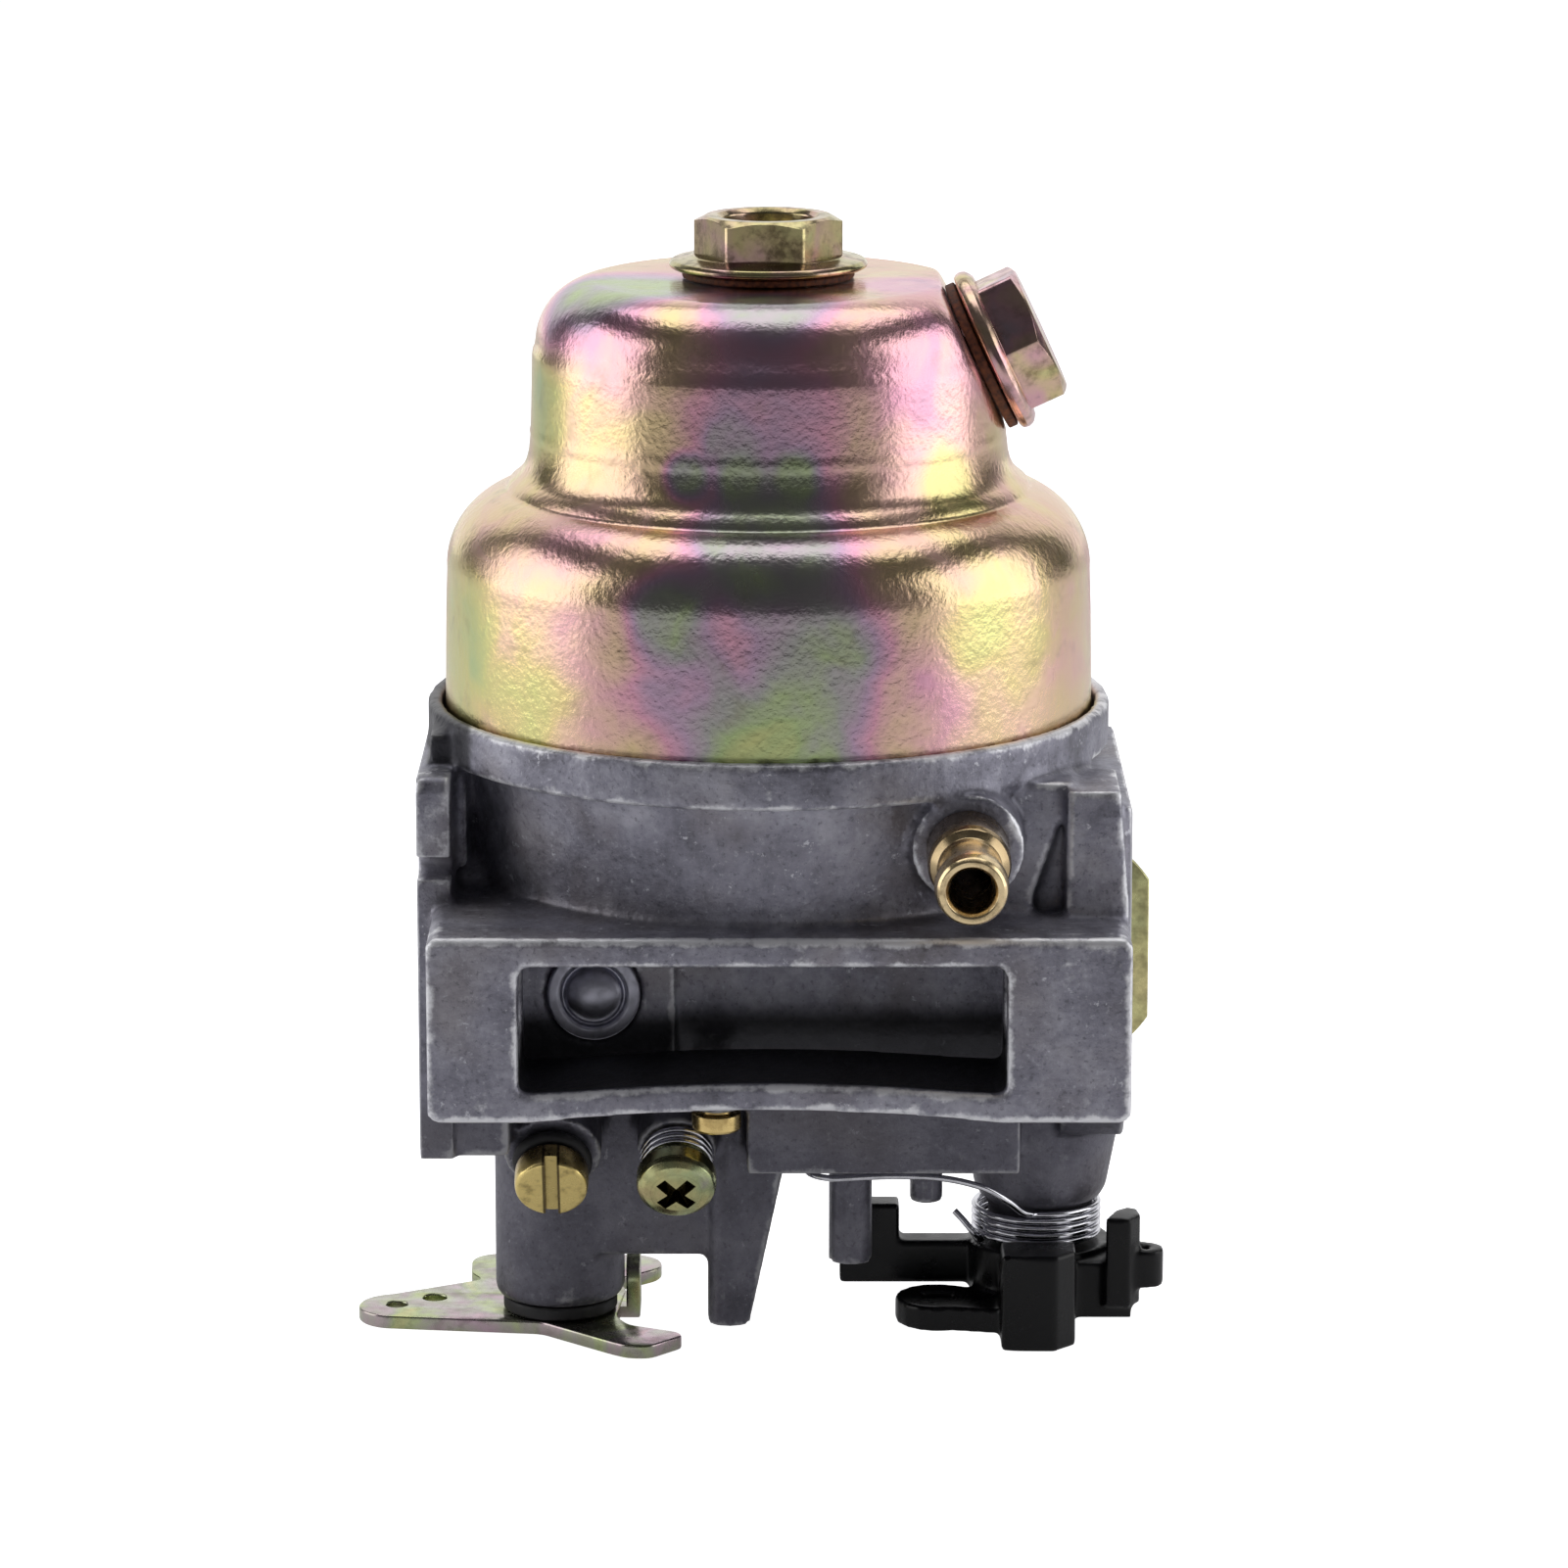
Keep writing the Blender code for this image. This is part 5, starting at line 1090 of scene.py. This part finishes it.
fit(dust_washer, black_rubber, "housing", "seal_rubber", "throttle_shaft_seal")

# ---------------------------------------------------------------- throttle stop screw
# A plated screw with a cross recess sets the idle speed. A short coil spring under its head keeps it
# from turning by itself, and its threads show between the two.

STOP_SEAT = Vector((19.5, -7.8, -14.2)) * MM
THREAD_PITCH = 0.7
COIL_RADIUS = 2.65 * MM
COIL_TURNS, COIL_STEPS = 3, 40
stop_head = STOP_SEAT + SCREW_AXIS * 2.6 * MM
threads = []
for i in range(1, 17):
    crest = -12.6 + i * THREAD_PITCH
    threads += [(1.95, crest), (1.62, crest + THREAD_PITCH / 2)]
stop_profile = in_mm([
    (0, -13.0), (1.4, -12.5), *threads, (1.9, -0.4), (1.95, 0), (2.95, 0), (3.08, 0.2), (3.1, 1.3),
    (2.95, 1.75), (2.5, 2.15), (1.7, 2.42), (0.8, 2.53), (0, 2.55),
])
stop = turned("idle_stop_screw", stop_profile, stop_head, SCREW_AXIS, 0.1 * MM)
cross_arm = in_mm([(-1.85, 3.2), (-1.6, 2.0), (-0.75, 1.1), (0.75, 1.1), (1.6, 2.0), (1.85, 3.2)])
for degrees_round in (45, 135):
    cutter = stamped("cutter", [cross_arm], -0.48 * MM, 0.48 * MM, 0.05 * MM, "Y")
    turn = Matrix.Rotation(radians(degrees_round), 4, "Z")
    cutter.data.transform(Matrix.Translation(stop_head) @ along(SCREW_AXIS) @ turn)
    stop = carved(stop, cutter)


def stop_screw_plating():
    """Plating with painted shade in the cross recess: near the middle of the head, and below its face."""
    made = bright_plating("screw_chromate", 0.08, 1.0, 0.18, (0.0, 0.3))
    tree = made.node_tree
    place = add_place(tree)
    height = height_along(tree, place, stop_head, SCREW_AXIS)
    away = distance_from(tree, place, stop_head + SCREW_AXIS * 2 * MM)
    # Painted shade: the cross recess is darkened to a dark olive.
    recess = add_product(
        tree, add_range(tree, height, 2.36 * MM, 2.24 * MM), add_range(tree, away, 2.1 * MM, 1.95 * MM)
    )
    shader = tree.nodes["Principled BSDF"]
    clean = shader.inputs["Base Color"].links[0].from_socket
    drive(tree, shader, Base_Color=add_mix(tree, recess, clean, linear(74, 66, 42)))
    return made


fit(stop, stop_screw_plating(), "stop_screw", "plated_screw", "throttle_stop_screw")
coil = []
for i in range(COIL_TURNS * COIL_STEPS + 1):
    angle = 2 * pi * i / COIL_STEPS
    height = 0.4 * MM + 1.85 * MM * i / (COIL_TURNS * COIL_STEPS)
    around = Vector((COIL_RADIUS * cos(angle), COIL_RADIUS * sin(angle), height))
    coil.append(STOP_SEAT + along(SCREW_AXIS) @ around)
spring_wire = steel("spring_wire", linear(222, 222, 228), 0.12)
stop_spring = wire("stop_screw_spring", coil, 0.5 * MM)
fit(stop_spring, spring_wire, "housing", "spring_steel", "throttle_stop_spring")

# ---------------------------------------------------------------- choke
# The lever and its spindle are one moulding in black glass-filled nylon. The plated disc is pushed
# into the spindle's slot. A bright torsion spring round the hub hooks over a peg and holds it open.

black_nylon = moulded_plastic("black_nylon", linear(4, 4, 5), linear(10, 10, 13), 0.24)
choke_arm = moulded("choke_arm_moulding", "choke_lever", 0.22 * MM, 2, 6, 70_000)
fit(choke_arm, black_nylon, "choke", "black_plastic", "choke_lever")
disc_radius, disc_flat = 9.95 * MM, 8.3 * MM
disc_start = degrees(acos(disc_flat / disc_radius))
disc_loop = arc((CHOKE_X, 0), disc_radius, disc_start, 360 - disc_start, 120)
disc = stamped("choke_disc", [disc_loop], -0.45 * MM, 0.45 * MM, 0.15 * MM, "Y")
disc_plating = bright_plating("disc_chromate", 0.14, 0.35, 0.24)
fit(disc, disc_plating, "choke", "plated_plate", "choke_plate")


def eased(points, steps=6):
    """A smooth line through points."""
    padded = [points[0], *points, points[-1]]
    line = []
    for a, b, c, d in zip(padded, padded[1:], padded[2:], padded[3:]):
        for i in range(steps):
            t = i / steps
            bend = 2 * a - 5 * b + 4 * c - d
            twist = 3 * b - a - 3 * c + d
            line.append(0.5 * (2 * b + (c - a) * t + bend * t**2 + twist * t**3))
    return [*line, points[-1]]


SPRING_X = 47.7 * MM
SPRING_RADIUS = 4.85 * MM
SPRING_WIRE = 0.52 * MM
SPRING_TOP = -20.1 * MM
SPRING_PITCH = 0.58 * MM
SPRING_TURNS = 5
SPRING_STEPS = 48
fixed_angle, moving_angle = radians(265), radians(205)
sweep = 2 * pi * SPRING_TURNS - (fixed_angle - moving_angle)
spring_coil = []
for i in range(SPRING_TURNS * SPRING_STEPS + 1):
    turn = sweep * i / (SPRING_TURNS * SPRING_STEPS)
    angle = fixed_angle + turn
    height = SPRING_TOP - SPRING_WIRE / 2 - SPRING_PITCH * turn / (2 * pi)
    spring_coil.append(Vector((SPRING_X + SPRING_RADIUS * cos(angle), SPRING_RADIUS * sin(angle), height)))
hook = [Vector((x, y, -16.7)) * MM for x, y in arc((32.1, -4.8), 2.5, 120, 270, 8)]
lead_points = [
    (36.0, -7.3, -16.5), (40.0, -7.5, -16.6), (43.2, -7.3, -17.4), (45.2, -6.7, -18.7), (46.4, -5.7, -19.9),
]
lead = [Vector(point) * MM for point in lead_points]
last = spring_coil[-1]
tail_steps = [(-0.3, -0.5, 0.3), (-0.7, -0.8, 0.9), (-1.4, -0.5, 1.7), (-2.1, -0.2, 2.4)]
tail = [last + Vector(step) * MM for step in tail_steps]
spring_line = [*eased([*hook, *lead, spring_coil[0]]), *spring_coil[1:-1], *eased([last, *tail])]
return_spring = wire("choke_torsion_spring", spring_line, SPRING_WIRE)
fit(return_spring, spring_wire, "housing", "spring_steel", "choke_return_spring")

# ---------------------------------------------------------------- studio
# A pale floor and soft boxes: one at each side for the long highlights on the bowl, one overhead, and
# a broad one behind. Only the pale floor lights the front, which gives the plated metal its contrast.


def studio_floor():
    """A wide pale floor, which glows a little and shows nearly white."""
    bm = bmesh.new()
    bmesh.ops.create_grid(bm, x_segments=1, y_segments=1, size=12.0)
    bmesh.ops.translate(bm, vec=(0, 0, cad_box[0].z - 0.1 * MM), verts=bm.verts)
    floor = smooth_object("studio_floor", bm)
    made, tree, shader = new_material("pale_floor", Metallic=0.0, Roughness=0.9)
    shader.inputs["Base Color"].default_value = (0.78, 0.78, 0.8, 1)
    shader.inputs["Emission Color"].default_value = (1, 1, 1, 1)
    seen = add(tree, "ShaderNodeLightPath").outputs["Is Camera Ray"]
    tree.links.new(add_range(tree, seen, 0.0, 1.0, 0.2, 0.97), shader.inputs["Emission Strength"])
    floor.data.materials.append(made)


def soft_box(name, place, target, width, height, brightness):
    """An area light. Brightness is what a mirror would show, so its power follows from its size."""
    light = bpy.data.lights.new(name, "AREA")
    light.shape = "RECTANGLE"
    light.size, light.size_y = width, height
    light.energy = brightness * pi * width * height
    obj = linked(name, light)
    obj.visible_camera = False
    obj.location = place
    obj.rotation_euler = (Vector(target) - Vector(place)).to_track_quat("-Z", "Y").to_euler()


studio_floor()
middle = (0.027, 0, 0.02)
soft_box("left_box", (-0.45, 0.01, 0.1), middle, 0.44, 0.5, 1.6)
soft_box("right_box", (0.48, -0.03, 0.1), middle, 0.42, 0.5, 1.65)
soft_box("top_box", (0.03, 0.14, 0.5), middle, 0.6, 0.4, 1.5)
soft_box("back_box", (0.03, 0.9, 0.3), middle, 1.5, 0.9, 0.9)

world = bpy.data.worlds.new("studio")
world.use_nodes = True
world_tree = world.node_tree
world_tree.nodes["Background"].inputs["Color"].default_value = (0.9, 0.9, 0.93, 1)
seen = add(world_tree, "ShaderNodeLightPath").outputs["Is Camera Ray"]
world_glow = add_range(world_tree, seen, 0.0, 1.0, 0.08, 1.1)
world_tree.links.new(world_glow, world_tree.nodes["Background"].inputs["Strength"])
bpy.context.scene.world = world
bpy.context.scene.view_settings.view_transform = "Standard"

aim = Vector((0.0278, 0, 0.0131))
camera = bpy.data.cameras.new("camera")
camera.lens = 147.5
camera.sensor_width = 36
camera.clip_start = 0.01
viewer = linked("camera", camera)
viewer.location = (0.0278, -0.48796, 0.12217)
viewer.rotation_euler = (aim - viewer.location).to_track_quat("-Z", "Y").to_euler()
bpy.context.scene.camera = viewer
